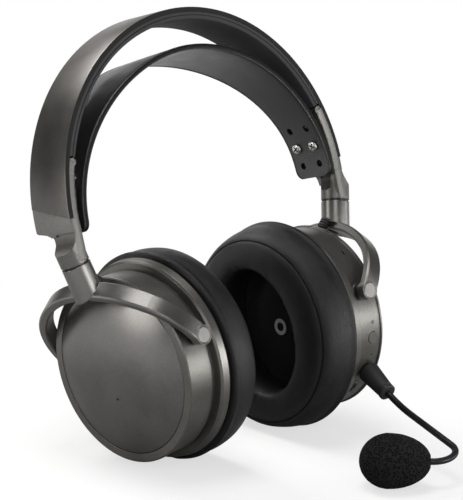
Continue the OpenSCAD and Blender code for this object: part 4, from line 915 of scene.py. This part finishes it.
for hand in ("left", "right"):
    settled = []
    for n, (x, y, z) in enumerate(pad_points):
        share, depth = pad_loop[n % loop_size]
        deep = min(1, max(0, depth / 0.8))
        keep = 1 - PAD_TAPER[hand] * deep * max(0, share) ** 2 / math.hypot(y, z)
        settled.append((x, y * keep, z * keep - PAD_SAG[hand] * deep * (0.5 + z / PAD_R / 2)))
    # Flat where the pad stands on the table
    standing = [(p.x, p.y, max(p.z, 0.0001)) for p in placed(cup_frame(hand), settled)]
    pad = piece_from("ear_pad_leather_" + hand, standing, pad_faces, pad_leather)
    point_outwards(pad)
    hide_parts("ear_pad_" + hand)
    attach(pad, "cup_" + hand)

# ---- Electronics -----------------------------------------------------------
# Green board behind the left driver, foil-wrapped cell behind the right one.
board, tree, surface = blank("circuit_board")
tracks = node(tree, "TexBrick", {
    "Vector": spot_on(tree), "Scale": 380.0, "Mortar Size": 0.06,
    "Color1": (0.01, 0.07, 0.03, 1), "Color2": (0.012, 0.09, 0.04, 1),
    "Mortar": (0.05, 0.22, 0.09, 1)})
feed(tree, surface, {"Base Color": tracks["Color"], "Roughness": 0.35,
                     "Normal": relief(tree, tracks["Fac"], 0.4, 0.00005)})
finish_nodes(board, "main_board")
cell_foil = bare_metal("cell_foil", (0.5, 0.5, 0.52, 1), pitch=0.8)
finish_nodes(cell_foil, "battery")

# ---- Lamp and plug contact -------------------------------------------------
# Smoky light pipe in the front of the left cup, gold-plated plug contact.
lens_milk, tree, surface = blank("light_pipe")
milky = use(tree, mould_grain, {"Size": 0.1, "Colour": (0.05, 0.05, 0.052, 1), "Dust": 0.1})
feed(tree, surface, {"Base Color": milky["Colour"], "Roughness": 0.25})
finish_nodes(lens_milk, "led_lens")
contact_gold = bare_metal("contact_plating", (0.78, 0.60, 0.28, 1), pitch=0.1)
finish_nodes(contact_gold, "mic_plug")

# ---- Gooseneck -------------------------------------------------------------
# Two wires wound into a tube under a glossy black sleeve, so that the winding
# only just shows; it rises from the boot and hooks in towards the mouth.
BOOM_R, WIRE_R, WIRE_PITCH = 1.65, 0.32, 0.78
RISE, RISE_R, RUN, TWIST, HOOK, HOOK_R, TAIL = 16.3, 71.5, 36.7, 78.0, 120.0, 11.5, 0.9
BOOT_TOP, IN_BOOT, IN_FOAM = 19.2, 1.0, 4.6
# The microphone's socket, round the cup and along it, and which way its line leans
MIC_ANGLE, MIC_SKEW, MIC_S, MIC_TURN, MIC_OUT = 41.1, 8.1, 3.7, 111.0, 45.5
MIC = (cup_frame("left") @ shift_by(MIC_S, 0, 0) @ turn("X", 90 + MIC_ANGLE)
       @ shift_by(0, 0, MIC_OUT) @ turn("Y", -MIC_SKEW))


def bent(radius, angle):
    """A step along a bend of that radius."""
    return shift_by(radius, 0, 0) @ turn("Y", angle) @ shift_by(-radius, 0, 0)


along = MIC @ shift_by(0, 0, BOOT_TOP) @ turn("Z", MIC_TURN)
boom_line = [along @ shift_by(0, 0, -IN_BOOT)]
boom_line += [along @ bent(RISE_R, RISE * k / 8) for k in range(9)]
along = boom_line[-1]
boom_line += [along @ shift_by(0, 0, RUN * k / 8) for k in range(1, 9)]
along = boom_line[-1] @ turn("Z", TWIST)
boom_line += [along @ bent(HOOK_R, HOOK * k / 24) for k in range(1, 25)]
along = boom_line[-1]
boom_line.append(along @ shift_by(0, 0, TAIL + IN_FOAM))
MIC_END = along @ shift_by(0, 0, TAIL)

goose_black, tree, surface = blank("gooseneck_black")
skin = use(tree, mould_grain, {"Size": 0.3, "Colour": (0.012, 0.012, 0.0125, 1), "Dust": 0.05})
feed(tree, surface, {"Base Color": skin["Colour"], "Specular IOR Level": 0.2,
                     "Roughness": calc(tree, "ADD", skin["Roughness Shift"], 0.3),
                     "Coat Weight": 0.05, "Coat Roughness": 0.12})

wound = bpy.data.node_groups.new("gooseneck_winding", "GeometryNodeTree")
wound.interface.new_socket("Geometry", in_out="INPUT", socket_type="NodeSocketGeometry")
# The sleeve lies just under the wires' crests
chosen = {}
for label, kind, value in (("Core Radius", "Float", (BOOM_R - 0.03) * 0.001),
                           ("Winding Radius", "Float", (BOOM_R - WIRE_R) * 0.001),
                           ("Wire Radius", "Float", WIRE_R * 0.001),
                           ("Pitch", "Float", WIRE_PITCH * 0.001),
                           ("Finish", "Material", goose_black)):
    chosen[wound.interface.new_socket(label, in_out="INPUT",
                                      socket_type="NodeSocket" + kind).identifier] = value
wound.interface.new_socket("Geometry", in_out="OUTPUT", socket_type="NodeSocketGeometry")


def step(kind, wires, **settings):
    """The outputs of a new geometry node, as node() gives a shader node's."""
    made = wound.nodes.new("GeometryNode" + kind)
    for key, value in settings.items():
        setattr(made, key, value)
    feed(wound, made.inputs, wires)
    return made.outputs


given = wound.nodes.new("NodeGroupInput").outputs
core_round, loop = (step("CurvePrimitiveCircle", {"Resolution": 28, "Radius": given[label]})
                    for label in ("Core Radius", "Winding Radius"))
core = step("CurveToMesh", {"Curve": given["Geometry"], "Profile Curve": core_round["Curve"],
                            "Fill Caps": True})
wire = step("CurvePrimitiveCircle", {"Resolution": 6, "Radius": given["Wire Radius"]})
coil = step("CurveToMesh", {"Curve": loop["Curve"], "Profile Curve": wire["Curve"]})
spots = step("CurveToPoints", {"Curve": given["Geometry"], "Length": given["Pitch"]},
             mode="LENGTH")
coils = step("InstanceOnPoints", {"Points": spots["Points"], "Instance": coil["Mesh"],
                                  "Rotation": spots["Rotation"]})
whole = step("JoinGeometry", {"Geometry": core["Mesh"]})
wound.links.new(coils["Instances"], wound.nodes[-1].inputs["Geometry"])
real = step("RealizeInstances", {"Geometry": whole["Geometry"]})
dressed = step("SetMaterial", {"Geometry": real["Geometry"], "Material": given["Finish"]})
smooth = step("SetShadeSmooth", {"Geometry": dressed["Geometry"]})
wound.links.new(smooth["Geometry"], wound.nodes.new("NodeGroupOutput").inputs["Geometry"])

line = bpy.data.curves.new("boom_line", "CURVE")
line.dimensions = "3D"
spline = line.splines.new("POLY")
spline.points.add(len(boom_line) - 1)
for point, spot in zip(spline.points, boom_line):
    point.co = (*(spot.translation * 0.001), 1)
boom_curve = new_object("boom_curve", line)
winding = boom_curve.modifiers.new("winding", "NODES")
winding.node_group = wound
for key, value in chosen.items():
    winding[key] = value
ready = bpy.context.evaluated_depsgraph_get()
boom = new_object("gooseneck",
                  bpy.data.meshes.new_from_object(boom_curve.evaluated_get(ready)))
bpy.data.objects.remove(boom_curve)
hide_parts("mic_boom")
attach(boom, "mic_arm")

# ---- Foam windscreen -------------------------------------------------------
# Open-cell foam, egg-shaped and hollow for the capsule, with a torn-open skin
# of fine pores.
FOAM_R, FOAM_LEN, FOAM_SIDES, FOAM_ROWS = 13.4, 34.0, 120, 90
# Height of the widest place, and the hollow for the boom's end
FOAM_BELLY, HOLLOW_FROM, HOLLOW_TO = 0.58 * FOAM_LEN, 0.15, 6.0
# Broad and small lumps, as [height, how many in a millimetre]
LUMPS, LUMPS_DOWN = [(0.1, 0.35), (0.12, 1.4)], 0.08
foam, tree, surface = blank("open_foam")
place = spot_on(tree)
pore = node(tree, "TexVoronoi", {"Vector": place, "Scale": 900.0})["Distance"]
clump = speckle(tree, place, 700.0, detail=4.0)
# Pores sink into the bump, and their hollows are painted darker as painted shade
pore_depth_and_shade = ramp(tree, pore, 0.15, 0.6)
feed(tree, surface, {
    "Base Color": between(tree, pore_depth_and_shade, grey(0.001), grey(0.012)),
    "Normal": relief(tree, calc(tree, "ADD", pore_depth_and_shade, clump), 1.0, 0.0009),
    "Roughness": 0.95, "Specular IOR Level": 0.15})

foam_points = []
for i in range(FOAM_ROWS + 1):
    z = FOAM_LEN * 0.5 * (1 - math.cos(math.pi * i / FOAM_ROWS))
    span = FOAM_BELLY * 1.03 if z < FOAM_BELLY else FOAM_LEN - FOAM_BELLY
    r = FOAM_R * math.sqrt(max(0, 1 - ((z - FOAM_BELLY) / span) ** 2))
    for c, s in circle(1, FOAM_SIDES):
        spot = Vector((r * c, r * s, z))
        lump = (sum(high * noise.noise(spot * many) for high, many in LUMPS)
                - LUMPS_DOWN) * min(1, r / 4)
        foam_points.append((spot[0] + lump * c, spot[1] + lump * s, z))
foam_faces = quads(FOAM_ROWS + 1, FOAM_SIDES)
first = len(foam_points)
foam_points += [(x, y, z) for z in (HOLLOW_FROM, HOLLOW_TO) for x, y in circle(BOOM_R, FOAM_SIDES)]
foam_faces += [(k, first + k, first + (k + 1) % FOAM_SIDES, (k + 1) % FOAM_SIDES)
               for k in range(FOAM_SIDES)] + quads(2, FOAM_SIDES, first)
foam_faces.append(tuple(first + FOAM_SIDES + k for k in range(FOAM_SIDES)))
windscreen = piece_from("windscreen", placed(MIC_END, foam_points), foam_faces, foam)
point_outwards(windscreen)
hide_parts("mic_foam")
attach(windscreen, "mic_arm")
